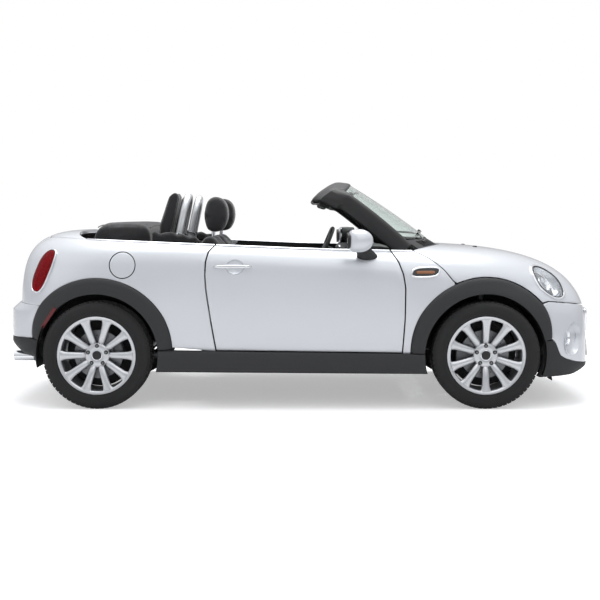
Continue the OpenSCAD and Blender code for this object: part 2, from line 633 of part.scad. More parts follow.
module dashboard() color("dimgray") {
    across_y(-590, 590) polygon([[firewall_x - 40 - seat_gap, 560],
        [firewall_x - 40 - seat_gap, 950],
        [fx(-560), 985], [fx(-720), 1000], [fx(-850), 1000], [fx(-885), 960], [fx(-870), 860],
        [fx(-800), 740], [fx(-640), 640]]);
    translate([fx(-850), seat_y, 1045]) rotate([0, 90, 0]) cylinder(h = 95, r = 62);
    at_steering() translate([0, 0, -200]) cylinder(h = 140 - seat_gap, r = 38);
}

module centre_console() color("dimgray") across_y(-95, 95)
    polygon([[fx(-1560), 330], [fx(-590), 330], [fx(-640), 600], [fx(-760), 600],
        [fx(-900), 470], [fx(-1540), 450]]);

// Seats and the roof pack keep their own x, measured from these zero points
module in_cabin() translate([front_axle - 1141, 0, 0]) children();
module in_tail() translate([rear_axle + 1246, 0, 0]) children();

cushion_z = 470;
module front_seat() {
    across_y(-seat_w / 2, seat_w / 2) polygon([[-470, 300], [40, 300], [80, 380],
        [70, cushion_z + 25], [0, cushion_z + 20], [-330, cushion_z - 20], [-470, 420]]);
    across_y(-seat_w / 2, seat_w / 2) polygon([[-345, 440], [-465, 425], [-530, 520],
        [-650, 1010], [-600, 1078], [-545, 1078], [-490, 1000]]);
    for (y = [-200, 160]) block(-450, 40, y, y + 40, floor_z + 25, 301);
}
module front_seats() color("dimgray") in_cabin()
    for (y = [-seat_y, seat_y]) translate([0, y, 0]) front_seat();

module front_headrests() color("dimgray") in_cabin() for (y = [-seat_y, seat_y]) translate([0, y, 0]) {
    across_y(-125, 125) polygon([[-600, 1095], [-500, 1095], [-465, 1180], [-480, 1270],
        [-530, 1312], [-590, 1290], [-612, 1200]]);
    for (y2 = [-70, 70]) translate([-565, y2, 1078 + seat_gap]) cylinder(h = 30, r = 7);
}

module rear_seat() color("dimgray") in_tail() {
    across_y(-540, 540) polygon([[-880, 420], [-615, 420], [-600, 500], [-625, 540], [-870, 520]]);
    across_y(-540, 540) polygon([[-900, 540], [-815, 545], [-745, 880], [-790, carrier_z - 15 - seat_gap], [-850, carrier_z - 15 - seat_gap]]);
}

hoop_r = 24;
hoop_half = 105;
hoop_lean = 12;
hoop_z = 1080;
hoop_leg = (hoop_z - carrier_z - seat_gap - hoop_r * sin(hoop_lean)) / cos(hoop_lean);
module roll_hoop() rotate([0, hoop_lean, 0]) {
    for (y = [-hoop_half, hoop_half]) translate([0, y, -hoop_leg])
        cylinder(h = hoop_leg + 130, r = hoop_r);
    translate([0, 0, 130]) rotate([90, 0, 90]) rotate_extrude(angle = 180)
        translate([hoop_half, 0]) circle(r = hoop_r);
}
module roll_hoops() color("silver") in_tail()
    for (y = [-370, 370]) translate([-768, y, hoop_z]) roll_hoop();

module rear_headrests() color("black") in_tail() for (y = [-370, 370]) translate([0, y, 0])
    across_y(-120, 120) polygon([[-920, carrier_z + seat_gap], [-858, carrier_z + seat_gap],
        [-812, 1120], [-765, 1330], [-790, 1352], [-830, 1330], [-900, 1130]]);

roof_w = 600;
module folded_roof() color("black") in_tail() {
    across_y(-roof_w, roof_w) polygon([[-1300, shelf_z + seat_gap], [-1318, 1050],
        [-1290, 1120], [-1250, 1140], [-1100, 1146], [-960, 1140], [-930, 1090],
        [-930, 975], [-1000, shelf_z + seat_gap]]);
    // The two ends of the canvas that hang down beside the seats
    for (s = [-1, 1]) translate([0, s * (roof_w + 18), 0]) across_y(-22, 22)
        polygon([[-930 + seat_gap, 1000], [-930 + seat_gap, 1085], [-800, 1090], [-640, 1060],
            [-610, 1020], [-640, 990]]);
}

module at_steering() translate([fx(-971), seat_y, 938]) rotate([0, -68, 0]) children();
module steering_wheel() color("dimgray") at_steering() {
    rotate_extrude() translate([steering_d / 2 - 16, 0]) circle(r = 16);
    translate([0, 0, -60]) cylinder(h = 75, r = 45);
    for (a = [0, 120, 240]) rotate([0, 0, a]) translate([30, -20, -12])
        cube([steering_d / 2 - 46, 40, 14]);
}

// ---- Lamps and grille ----

// Lamps and grille stand off the skin so that its flat facets clear them
lens_gap = 0.9;
module lens(hub, at, u, v, ru, rv, lift) {
    k = 28;
    function ring(f, d) = [for (i = [0:k - 1]) let(a = 360 * i / k)
        skin(hub, at + u * (ru * f * cos(a)) + v * (rv * f * sin(a)), d)];
    fs = [0.04, 0.4, 0.75, 1];
    loft(concat([for (f = fs) ring(f, -lens_gap)],
        [for (f = reversed(fs)) ring(f, -lens_gap - lift * (1 - 0.6 * f * f))]));
}

head_at = [fx(421), -598, 776];
module headlamps() color("white") both_sides() {
    n = unit([0.62, -0.48, 0.62]);
    u = unit(cross([0, 0, 1], n));
    v = cross(n, u);
    lens(nose_hub, head_at, u, v, 118, 118, 14);
}

tail_at = [rear_axle - 350, -682, 840];
module tail_lamps() color("darkred") both_sides() {
    v = unit([152, 30, 313]);
    u = unit([-0.75, 0.65, 0.35] - v * ([-0.75, 0.65, 0.35] * v));
    lens(tail_hub, tail_at, u, v, 72, 172, 12);
}

module radiator_grille() color("black") {
    n = 12;
    grid = [for (i = [0:5]) [for (j = [-n:n]) let(s = j / n)
        nose_pt(s * lerp(360, 330, i / 5), lerp(572, 440, i / 5) + rake * nose_tip)]];
    out = [for (row = grid) [for (p = row) skin(bumper_hub, p, -grille_proud)]];
    sheet(out, [for (row = grid) [for (p = row) skin(bumper_hub, p, -lens_gap)]]);
}

pipe_y = -470;
pipe_z = 288;
module exhaust() color("silver") {
    translate([tail_tip - 36, pipe_y, pipe_z]) rotate([0, 90, 0]) difference() {
        cylinder(h = 260, r = 33);
        translate([0, 0, -1]) cylinder(h = 180, r = 29);
    }
    translate([tail_tip + 268, -510, 310]) rotate([-90, 0, 0]) cylinder(h = 700, r = 62);
    for (y = [-440, 120]) translate([tail_tip + 268, y, 340])
        cylinder(h = rear_floor_z - seat_gap - 340, r = 12);
}

// ---- Mirrors ----

module mirror_body() {
    base = [fx(-741), -half_w + 12, 945];
    head = [fx(-787), -half_w - 92, 1036];
    rings = [for (i = [0:8]) let(t = i / 8, c = head + [0, lerp(95, -92, t), 0],
        f = sqrt(max(0.02, 1 - pow(abs(2 * t - 1), 3.2))))
        [for (k = [0:15]) let(a = 22.5 * k)
            c + [cos(a) > 0 ? 82 * f * cos(a) : 62 * f * cos(a), 0, -70 * f * sin(a)]]];
    loft(rings);
}
module mirror_foot() {
    root = [fx(-731), -half_w + 36, 940];
    tip = [fx(-760), -half_w - 40, 985];
    function ring(c, w, h) = [for (k = [0:11]) let(a = 30 * k) c + [w * cos(a), 0, -h * sin(a)]];
    function seated(f) = [for (p = ring(root, 66 * f, 28 * f)) side_pt(p[0], p[2]) - [0, 1.2, 0]];
    loft([seated(0.05), seated(0.5), seated(1), ring(lerp(root, tip, 0.6), 54, 26),
        ring(tip, 48, 24)]);
}
module mirror_right() color("white") { mirror_body(); mirror_foot(); }
module mirror_left() mirror([0, 1, 0]) mirror_right();

// ---- Wheels and suspension ----

kingpin_y = half_track - 66;
stub_r = 25;
bore_r = stub_r + 0.05;
barrel_r = rim_r - 15;

module at_wheel(axle, side) translate([axle, side * half_track, tyre_r])
    rotate([-90 * side, 0, 0]) children();

module tyre() color("black") {
    w = tyre_w / 2;
    rotate_extrude($fn = 128) difference() {
        polygon([[barrel_r, -w + 12], [rim_r + 4, -w + 6], [rim_r + 40, -w], [tyre_r - 28, -w + 3],
            [tyre_r - 10, -w + 12], [tyre_r, -w + 28], [tyre_r, w - 28], [tyre_r - 10, w - 12],
            [tyre_r - 28, w - 3], [rim_r + 40, w], [rim_r + 4, w - 6], [barrel_r, w - 12]]);
        polygon([[barrel_r - 1, -w + 30], [rim_r + 20, -w + 14], [tyre_r - 30, -w + 18],
            [tyre_r - 14, -w + 34], [tyre_r - 14, w - 34], [tyre_r - 30, w - 18],
            [rim_r + 20, w - 14], [barrel_r - 1, w - 30]]);
    }
}

module road_wheel() color("silver") {
    w = tyre_w / 2;
    difference() {
        union() {
            rotate_extrude($fn = 128) polygon([[barrel_r - 9, -w + 6], [barrel_r, -w + 12],
                [barrel_r, w - 12], [rim_r, w - 6], [rim_r, w - 2], [barrel_r - 4, w - 2],
                [barrel_r - 9, w - 14]]);
            for (a = [0:36:324]) rotate([0, 0, a]) translate([0, 21, 0]) rotate([90, 0, 0])
                linear_extrude(42) polygon([[50, 40], [60, 74], [140, 86], [barrel_r - 8, w - 6],
                    [barrel_r - 8, w - 26], [140, 60]]);
            translate([0, 0, 30]) cylinder(h = 44, r = 74);
            translate([0, 0, -6]) cylinder(h = 22, r = disc_r);
            translate([0, 0, -6]) cylinder(h = 40, r = 80);
        }
        translate([0, 0, -7]) cylinder(h = 67, r = bore_r);
    }
}

module knuckle() color("gray") {
    // Local frame of the wheel: +Z outwards
    translate([0, 0, -96]) cylinder(h = 150, r = stub_r);
    translate([0, 0, -96]) cylinder(h = 60, r = 55);
    translate([0, 0, -66]) rotate([90, 0, 0]) translate([0, 0, -108]) cylinder(h = 216, r = 30);
    difference() {
        translate([-175, -60, -44]) cube([80, 120, 80]);
        translate([0, 0, -12]) cylinder(h = 34, r = disc_r + 5);
    }
    translate([-130, -30, -60]) cube([110, 60, 20]);
}
module knuckle_right() at_wheel(front_axle, -1) knuckle();
module knuckle_left() at_wheel(front_axle, 1) mirror([0, 1, 0]) knuckle();

module front_suspension() color("dimgray") {
    ball = tyre_r - 108 - seat_gap;
    top = tyre_r + 108 + seat_gap;
    both_sides() {
        block(front_axle - 30, front_axle + 30, -kingpin_y - 26, -300, ball - 25, ball);
        block(front_axle - 28, front_axle + 28, -kingpin_y - 26, -545, top, top + 25);
        translate([front_axle, -565, top + 25]) cylinder(h = 225, r = 22);
    }
    block(front_axle - 60, front_axle + 60, -330, 330, ball - 25, ball + 40);
    for (y = [-400, 370]) block(front_axle - 40, front_axle + 40, y, y + 30, ball, 330);
}

module rear_suspension() color("dimgray") {
    both_sides() {
        translate([rear_axle, -half_track - 54, tyre_r]) rotate([-90, 0, 0]) cylinder(h = 150, r = stub_r);
        translate([rear_axle, -half_track + 40, tyre_r]) rotate([-90, 0, 0]) cylinder(h = 80, r = 55);
        bar([rear_axle, -half_track + 90, tyre_r], [rear_axle + 330, -470, 300], 28);
        translate([rear_axle + 40, -520, tyre_r - 30]) cylinder(h = rear_floor_z - tyre_r + 30, r = 45);
        bar([rear_axle, -half_track + 90, tyre_r], [rear_axle + 40, -520, tyre_r], 28);
    }
    translate([rear_axle + 200, -540, 305]) rotate([-90, 0, 0]) cylinder(h = 1080, r = 38);
}

floor_pan();
arch_liners();
engine();
front_side_panels();
quarter_panels();
rear_deck();
front_bumper();
front_valance();
rear_bumper();
rear_valance();
wheel_arch_trims();
sill_covers();
windscreen_frame();
windscreen();
cowl_panel();
wipers();
dashboard();
centre_console();
front_seats();
front_headrests();
rear_seat();
rear_headrests();
roll_hoops();
folded_roof();
tail_lamps();
radiator_grille();
exhaust();
front_suspension();
rear_suspension();
knuckle_right();
knuckle_left();
at_wheel(front_axle, -1) tyre();  // tyre_front_right
at_wheel(front_axle, 1) tyre();  // tyre_front_left
at_wheel(rear_axle, -1) tyre();  // tyre_rear_right
at_wheel(rear_axle, 1) tyre();  // tyre_rear_left
at_wheel(front_axle, -1) road_wheel();  // wheel_front_right
at_wheel(front_axle, 1) road_wheel();  // wheel_front_left
at_wheel(rear_axle, -1) road_wheel();  // wheel_rear_right
at_wheel(rear_axle, 1) road_wheel();  // wheel_rear_left
door_right();
door_left();
mirror_right();
mirror_left();
hood();
headlamps();
boot_lid();
fuel_flap();
steering_wheel();
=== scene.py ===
"""Looks of a small two-door convertible car, built round its CAD frame."""

import math

import bmesh
import bpy
import numpy as np
from mathutils import Matrix


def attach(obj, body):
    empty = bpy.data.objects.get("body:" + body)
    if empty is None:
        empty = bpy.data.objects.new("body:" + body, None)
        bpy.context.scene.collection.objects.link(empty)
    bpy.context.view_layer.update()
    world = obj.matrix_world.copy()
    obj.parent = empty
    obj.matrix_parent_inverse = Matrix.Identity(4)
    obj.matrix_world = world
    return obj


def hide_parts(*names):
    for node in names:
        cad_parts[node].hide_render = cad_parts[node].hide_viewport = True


bl_info = {
    "name": "Convertible car looks",
    "version": (1, 0, 0),
    "blender": (4, 5, 0),
    "location": "View3D > Sidebar > Car",
    "description": "Panels, trim, lamps, wheels and soft pieces of a small convertible",
    "category": "Object",
}

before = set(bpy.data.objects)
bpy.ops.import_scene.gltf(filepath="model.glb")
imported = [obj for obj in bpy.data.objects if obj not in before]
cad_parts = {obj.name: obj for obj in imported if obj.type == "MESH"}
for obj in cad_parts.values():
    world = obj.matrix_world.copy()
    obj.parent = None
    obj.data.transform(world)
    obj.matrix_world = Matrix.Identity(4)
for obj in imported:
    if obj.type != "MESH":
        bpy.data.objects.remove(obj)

MM = 0.001
SIDES = (("right", -1.0), ("left", 1.0))
ENDS = ((1, "front"), (-1, "rear"))

# The car's measures, in millimetres, as its CAD source names them
WHEELBASE = 2387.0
HALF_TRACK = 730.0
TYRE_R = 331.0
TYRE_W = 205.0
RIM_R = 240.0
BARREL_R = RIM_R - 15
DISC_R = 150.0
ARCH_R = TYRE_R + 45
TRIM_R = ARCH_R + 98
HALF_W = 830.0
FRONT_OVERHANG = 719.0
REAR_OVERHANG = 554.0
CREST_Z = 1038.0
BELT_Z = 990.0
SHOULDER = BELT_Z - 4
SILL_Z = 350.0
SHUT_GAP = 6.5
PANEL_T = 26.0
DOOR_T = 128.0
HEADER_Z = 1414.0
GLASS_T = 6.0
SEAT_Y = 350.0
SEAT_W = 480.0
BULGE = 55.0
GRILLE_PROUD = 10.0
SEAT_GAP = 0.3
LENS_GAP = 0.9
FRONT_AXLE = (WHEELBASE + REAR_OVERHANG + BULGE - FRONT_OVERHANG - GRILLE_PROUD) / 2
REAR_AXLE = FRONT_AXLE - WHEELBASE
NOSE_TIP = FRONT_AXLE + FRONT_OVERHANG
TAIL_TIP = REAR_AXLE - REAR_OVERHANG

RAKE = 0.041
MID_X = 200.0
WAIST_LEVEL = 740.0
ROUND_LEVEL = 600.0
NOSE_LEN = 928.0
TAIL_LEN = 540.0
SILL_TUCK = 50.0
NOSE_CORNERS = ((300, 5.5), (500, 5), (650, 4.2), (800, 3.2), (900, 2.9), (1040, 2.7))
TAIL_CORNERS = ((300, 6), (500, 5.5), (650, 5), (800, 4.2), (900, 3.8), (1040, 3.2))


# ---- The body shape, as in the CAD source, for arrays of points ----


def lookup(value, table):
    return np.interp(value, [row[0] for row in table], [row[1] for row in table])


def round_off(t, n):
    return (1 - np.clip(t, 0, 1) ** n) ** (1 / n)


def tuck(lev, start, rate):
    return rate * (np.maximum(0, start - lev) / 45) ** 1.5


def nose_x(lev, d=0.0):
    t = (lev - ROUND_LEVEL) / (CREST_Z - d - ROUND_LEVEL)
    return NOSE_TIP - NOSE_LEN - tuck(lev, 317, 45) + (NOSE_LEN - d) * round_off(t, 2.6)


def tail_x(lev, d=0.0):
    t = (lev - ROUND_LEVEL) / (CREST_Z - d - ROUND_LEVEL)
    return TAIL_TIP + TAIL_LEN + tuck(lev, 330, 30) - (TAIL_LEN - d) * round_off(t, 3.4)


def width_at(lev, d=0.0):
    high = (HALF_W - d) * round_off((lev - WAIST_LEVEL) / (CREST_Z - d - WAIST_LEVEL), 4.5)
    low = HALF_W - d - SILL_TUCK * ((WAIST_LEVEL - lev) / 540) ** 2
    return np.where(lev > WAIST_LEVEL, high, low)


def corner(x, lev):
    return np.where(x > 0, lookup(lev, NOSE_CORNERS), lookup(lev, TAIL_CORNERS))


def reach(x, lev, d=0.0):
    ahead = (x - MID_X) / (nose_x(lev, d) - MID_X)
    behind = (x + MID_X) / (tail_x(lev, d) + MID_X)
    return np.where(x > MID_X, ahead, np.where(x < -MID_X, behind, 0.0))


def side_y(x, z, d=0.0):
    lev = z + RAKE * x
    return width_at(lev, d) * round_off(reach(x, lev, d), corner(x, lev))


def outside(p, d):
    lev = p[..., 2] + RAKE * p[..., 0]
    n = corner(p[..., 0], lev)
    width = np.maximum(width_at(lev, d), 1e-6)
    full = np.maximum(reach(p[..., 0], lev, d), 0) ** n + (np.abs(p[..., 1]) / width) ** n
    return (lev >= CREST_Z - d) | (full > 1)


def skin(hub, q, d=0.0, hi=8.0):
    """Where lines from hub through the points q leave the body shape inset by d."""
    q = np.asarray(q, float)
    hub = np.broadcast_to(np.asarray(hub, float), q.shape)
    lo = np.zeros(q.shape[:-1])
    hi = np.full(q.shape[:-1], hi)
    for _ in range(34):
        mid = (lo + hi) / 2
        out = outside(hub + (q - hub) * mid[..., None], d)
        hi = np.where(out, mid, hi)
        lo = np.where(out, lo, mid)
    return hub + (q - hub) * ((lo + hi) / 2)[..., None]


def core(q):
    over = lookup(q[..., 2], ((180, 0), (300, 150), (420, 330)))
    return np.stack(
        [
            np.clip(q[..., 0], REAR_AXLE - over, FRONT_AXLE + over),
            np.clip(q[..., 1], -450, 450),
            np.clip(q[..., 2], 320, 700),
        ],
        -1,
    )


def on_body(q, d=0.0):
    q = np.asarray(q, float)
    return skin(core(q), q, d)


def outward(p):
    """The body's outward direction at points on its skin."""
    p = np.asarray(p, float)
    a = on_body(p + [14, 0, 0]) - on_body(p - [14, 0, 0])
    b = on_body(p + [0, 11, 14]) - on_body(p - [0, 11, 14])
    n = np.cross(a, b)
    n = n / np.maximum(np.linalg.norm(n, axis=-1, keepdims=True), 1e-9)
    sign = np.sign((n * (p - core(p))).sum(-1, keepdims=True))
    return n * np.where(sign == 0, 1, sign)


def turns(k):
    """k angles spread evenly round a full turn."""
    return np.arange(k) * 2 * np.pi / k


def ease(t):
    """0 to 1 along a soft step, level at both ends."""
    return t * t * (3 - 2 * t)


def lerp(a, b, t):
    return np.asarray(a, float) + (np.asarray(b, float) - np.asarray(a, float)) * t


def unit(v):
    v = np.asarray(v, float)
    return v / np.linalg.norm(v)


def pts(rows):
    return np.array([np.asarray(r, float) for r in rows])


def mirror_y(p):
    return np.asarray(p, float) * [1, -1, 1]


def on_side(side, *grids):
    """Grids drawn for the right side, mirrored when they are for the left."""
    return tuple(mirror_y(g) for g in grids) if side > 0 else grids


def both_halves(right):
    """A line from the right side to the centre, carried on to the left."""
    return np.concatenate([right, mirror_y(right)[-2::-1]])


def resample(path, count):
    """count points spread evenly along a path."""
    path = pts(path)
    run = np.concatenate([[0], np.cumsum(np.linalg.norm(np.diff(path, axis=0), axis=1))])
    at = np.linspace(0, run[-1], count)
    return np.stack([np.interp(at, run, path[:, k]) for k in range(3)], -1)


def patch(c0, c1, d0, d1):
    """The surface between four edge curves."""
    c0, c1, d0, d1 = (pts(c) for c in (c0, c1, d0, d1))
    u = np.linspace(0, 1, len(c0))[:, None, None]
    v = np.linspace(0, 1, len(d0))[None, :, None]
    ruled = c0[:, None] * (1 - v) + c1[:, None] * v + d0[None] * (1 - u) + d1[None] * u
    flat = c0[0] * (1 - u) * (1 - v) + c0[-1] * u * (1 - v)
    return ruled - flat - c1[0] * (1 - u) * v - c1[-1] * u * v


def sill_top(x):
    return SILL_Z - 0.0125 * x


def side_pt(x, z, side=-1.0):
    return np.stack(np.broadcast_arrays(x, side * side_y(x, z), z), -1).astype(float)


def tail_pt(y, lev):
    run = round_off(np.abs(y) / width_at(lev), lookup(lev, TAIL_CORNERS))
    x = -MID_X + (tail_x(lev) + MID_X) * run
    return np.stack(np.broadcast_arrays(x, y, lev - RAKE * x), -1).astype(float)


def nose_pt(y, lev):
    run = round_off(np.abs(y) / width_at(lev), lookup(lev, NOSE_CORNERS))
    x = MID_X + (nose_x(lev) - MID_X) * run
    return np.stack(np.broadcast_arrays(x, y, lev - RAKE * x), -1).astype(float)


def trim_edge(b):
    return TRIM_R - 50 * (np.maximum(0, 40 - b) / 28) ** 1.5 - 12 * np.maximum(0, b - 150) / 30


def axle_x(way):
    return FRONT_AXLE if way > 0 else REAR_AXLE


def arch_pt(way, r, b):
    a = np.radians(b)
    return side_pt(axle_x(way) + way * r * np.cos(a), TYRE_R + r * np.sin(a))


CHORD_GAP = SEAT_GAP + TRIM_R * (1 - math.cos(math.radians(4)))


def panel_edge(way, b, gap=CHORD_GAP):
    return arch_pt(way, trim_edge(b) + gap, b)


def shoulder_z(x):
    return SHOULDER - RAKE * x + 0.018 * np.maximum(0, x)


FRONT_SHUT = (
    (340, -517), (550, -503), (747, -501), (826, -514), (904, -543), (985, -596),
)
REAR_SHUT = (
    (340, 738), (551, 703), (735, 677), (826, 671), (905, 675), (965, 691), (1020, 742),
)
HOOD_SHUT = (
    (768, -185), (810, -218), (855, -254), (890, -296), (927, -346), (972, -438),
)


def door_front_x(z):
    return FRONT_AXLE + lookup(z, FRONT_SHUT)


def door_rear_x(z):
    return REAR_AXLE + lookup(z, REAR_SHUT)


def hood_side_x(z):
    return FRONT_AXLE + lookup(z, HOOD_SHUT)


def fx(d):
    return FRONT_AXLE + d


def screen(u, v):
    """A point of the windscreen: u across from -1 to 1, v up from 0 to 1."""
    u, v = np.broadcast_arrays(np.asarray(u, float), np.asarray(v, float))
    a = np.abs(u)
    low = np.stack([fx(-297) - 215 * a**2.2, 640 * u, 1047 - 8 * a * a], -1)
    high = np.stack([fx(-807) - 60 * a**2.2, 565 * u, HEADER_Z - 21 - 62 * a**2.2], -1)
    bow = (4 * v * (1 - v) * 0.35)[..., None] * np.array([18.0, 0, 18.0])
    return low + (high - low) * v[..., None] + bow


SCREEN_N = unit(np.cross([0, 1, 0], screen(0, 1) - screen(0, 0)))
GLASS_U = 0.95
GLASS_V = 0.985


# ---- Meshes ----

MERGE_M = 2e-6
DEGENERATE_M = 1e-7
SMOOTH = 35.0

MATS = {}

# The slot named for each material's pieces, unless the piece says otherwise; keep looks it up but
# no piece is given it
SLOTS = {
    "paint": "body_paint", "trim": "trim_plastic", "black": "black_matte",
    "leather": "black_matte", "cloth": "black_matte", "gloss": "black_gloss",
    "chrome": "chrome", "alloy": "alloy", "hoop": "alloy", "steel": "steel_dark",
    "tyre": "tyre_rubber", "glass": "glass", "clear": "lamp_clear", "red": "lamp_red",
    "deep_red": "lamp_red", "reflector": None, "rubber_and_hole_shade": None, "amber": None, "mirror": None,
    "white": None, "carpet": None, "cast": None, "under": None, "dial": None,
}


def mesh_of(name, shape):
    """A mesh from a (points, faces) pair in millimetres."""
    verts, faces = shape
    mesh = bpy.data.meshes.new(name)
    mesh.from_pydata((np.asarray(verts, float) * MM).tolist(), [], [list(f) for f in faces])
    return mesh


def mend(mesh, merge=False):
    """Turns every face outwards, after closing up points that coincide."""
    work = bmesh.new()
    work.from_mesh(mesh)
    if merge:
        bmesh.ops.remove_doubles(work, verts=work.verts, dist=MERGE_M)
        bmesh.ops.dissolve_degenerate(work, edges=work.edges, dist=DEGENERATE_M)
    bmesh.ops.recalc_face_normals(work, faces=work.faces)
    work.to_mesh(mesh)
    work.free()


def linked(name, data):
    """A new object of the scene."""
    made = bpy.data.objects.new(name, data)
    bpy.context.scene.collection.objects.link(made)
    return made


def keep(name, shape, look, body="root", nodes=(), slot="as look", smooth=SMOOTH):
    """A finished piece from points in millimetres, in the slot that its material usually has."""
    if slot == "as look":
        slot = SLOTS[look]
    return adopt(name, mesh_of(name, shape), look, body, nodes, smooth)


def adopt(name, mesh, look, body, nodes=(), smooth=SMOOTH):
    """Makes a mesh a finished piece: cleaned, with its material, body, nodes and slot."""
    mend(mesh, merge=True)
    if not len(mesh.polygons):
        raise RuntimeError(name + " came out empty")
    mesh.materials.clear()
    mesh.materials.append(MATS[look])
    shade(mesh, smooth)
    piece = linked(name, mesh)
    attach(piece, body)
    if nodes:
        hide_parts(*nodes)
    return piece


def shade(mesh, smooth):
    mesh.shade_smooth()
    mesh.set_sharp_from_angle(angle=math.radians(smooth))


def bake(piece):
    """Turns a piece's live modifiers into its plain mesh."""
    graph = bpy.context.evaluated_depsgraph_get()
    graph.update()
    mesh = bpy.data.meshes.new_from_object(piece.evaluated_get(graph))
    old = piece.data
    piece.modifiers.clear()
    piece.data = mesh
    bpy.data.meshes.remove(old)
    return piece


def round_edges(piece, width, segments=2, angle=40.0):
    bevel = piece.modifiers.new("Edges", "BEVEL")
    bevel.width = width * MM
    bevel.segments = segments
    bevel.limit_method = "ANGLE"
    bevel.angle_limit = math.radians(angle)
    bevel.use_clamp_overlap = True
    bake(piece)
    shade(piece.data, angle)
    return piece


def cut(piece, cutters, solver="EXACT"):
    """Takes away closed shapes, each a (points, faces) pair in millimetres."""
    for shape in cutters:
        mesh = mesh_of("cutter", shape)
        mend(mesh)
        tool = linked("cutter", mesh)
        hole = piece.modifiers.new("Hole", "BOOLEAN")
        hole.operation = "DIFFERENCE"
        hole.solver = solver
        hole.object = tool
        bake(piece)
        bpy.data.objects.remove(tool)
    if not len(piece.data.polygons):
        raise RuntimeError(piece.name + " was cut away")
    shade(piece.data, SMOOTH)
    return piece


def grid_faces(n, m, start=0, flip=False):
    faces = []
    for i in range(n):
        for j in range(m):
            a = start + i * (m + 1) + j
            quad = (a, a + 1, a + m + 2, a + m + 1)
            faces.append(quad[::-1] if flip else quad)
    return faces


def slab(outer, inner):
    """A closed sheet between two grids of points."""
    n, m = outer.shape[0] - 1, outer.shape[1] - 1
    q = (n + 1) * (m + 1)
    faces = grid_faces(n, m) + grid_faces(n, m, q, True)
    rim = [i * (m + 1) for i in range(n + 1)]
    rim += [n * (m + 1) + j for j in range(1, m + 1)]
    rim += [i * (m + 1) + m for i in range(n - 1, -1, -1)]
    rim += list(range(m - 1, 0, -1))
    for a, b in zip(rim, rim[1:] + rim[:1]):
        faces.append((a, b, b + q, a + q))
    return np.concatenate([outer.reshape(-1, 3), inner.reshape(-1, 3)]), faces


def loft(rings, closed=False):
    """A skin through equal rings of points, closed into a loop or capped at its ends."""
    rings = np.asarray(rings, float)
    n, k = rings.shape[:2]
    faces = []
    for i in range(n if closed else n - 1):
        for j in range(k):
            a, b = i * k + j, i * k + (j + 1) % k
            c, d = (i + 1) % n * k + (j + 1) % k, (i + 1) % n * k + j
            faces.append((a, b, c, d))
    if not closed:
        faces += [tuple(range(k - 1, -1, -1)), tuple((n - 1) * k + j for j in range(k))]
    return rings.reshape(-1, 3), faces


def joined(*parts):
    verts, faces, start = [], [], 0
    for v, f in parts:
        verts.append(np.asarray(v, float))
        faces += [tuple(i + start for i in face) for face in f]
        start += len(v)
    return np.concatenate(verts), faces


def sweep(path, section, up=None, closed=False):
    """A section of (side, up) points carried along a path; up gives its upward directions."""
    path = pts(path)
    n = len(path)
    if closed:
        along = np.roll(path, -1, 0) - np.roll(path, 1, 0)
    else:
        along = np.gradient(path, axis=0)
    along /= np.linalg.norm(along, axis=1, keepdims=True)
    if up is None:
        ups = np.zeros((n, 3))
        ups[0] = unit(np.cross(along[0], [0.3, 0.5, 0.81]))
        for i in range(1, n):
            u = ups[i - 1] - along[i] * (ups[i - 1] @ along[i])
            ups[i] = unit(u)
    else:
        ups = np.broadcast_to(np.asarray(up, float), (n, 3))
        ups = ups - along * (ups * along).sum(1, keepdims=True)
        ups = ups / np.linalg.norm(ups, axis=1, keepdims=True)
    side = np.cross(along, ups)
    section = np.asarray(section, float)
    if section.ndim == 2:
        section = np.broadcast_to(section, (n,) + section.shape)
    rings = path[:, None] + side[:, None] * section[..., :1] + ups[:, None] * section[..., 1:]
    return loft(rings, closed)


def circle(r, k):
    a = turns(k)
    return np.stack([r * np.cos(a), r * np.sin(a)], -1)


def soft_box(half_a, half_b, power=3.2, k=24):
    """A rounded rectangle as a section."""
    a = turns(k)
    c, s = np.cos(a), np.sin(a)
    return np.stack(
        [half_a * np.sign(c) * np.abs(c) ** (2 / power),
         half_b * np.sign(s) * np.abs(s) ** (2 / power)],
        -1,
    )


def boxes(half_widths, half_b, power=3.2, k=24):
    """Rounded rectangles for each point of a path, as wide as half_widths say."""
    return np.array([soft_box(half, half_b, power, k) for half in half_widths])


def tower(profile, k):
    """A closed stack of k-sided rings from (radius, height) pairs."""
    return loft([[(x, y, z) for x, y in circle(r, k)] for r, z in profile])


def lathe(profile, k=96):
    """A closed shape turned round Z from closed (radius, height) points."""
    profile = np.asarray(profile, float)
    a = turns(k)
    rings = np.stack(
        [profile[None, :, 0] * np.cos(a)[:, None], profile[None, :, 0] * np.sin(a)[:, None],
         np.broadcast_to(profile[None, :, 1], (k, len(profile)))],
        -1,
    )
    return loft(rings, closed=True)


def dome(r, h, k=32, rows=6):
    """A crowned disc on Z = 0, closed below."""
    t = np.linspace(0.999, 0.02, rows)
    rings = [[(r * f * math.cos(a), r * f * math.sin(a), h * (1 - f**2.4))
              for a in turns(k)] for f in t]
    base = [[(r * math.cos(a), r * math.sin(a), -1.0) for a in turns(k)]]
    return loft(np.array(base + rings))


def placed(shape, origin, x=(1, 0, 0), y=(0, 1, 0), z=(0, 0, 1)):
    """A shape moved to origin, with its own X, Y and Z turned to three directions."""
    verts, faces = shape
    turn = np.array([x, y, z], float)
    return np.asarray(verts, float) @ turn + np.asarray(origin, float), faces


def scaled(shape, factors):
    verts, faces = shape
    return np.asarray(verts, float) * factors, faces


def extruded(profile, y0, y1):
    """A flat (x, z) outline stretched between two widths."""
    profile = np.asarray(profile, float)
    rings = [np.stack([profile[:, 0], np.full(len(profile), y), profile[:, 1]], -1)
             for y in np.linspace(y0, y1, 2)]
    return loft(rings)


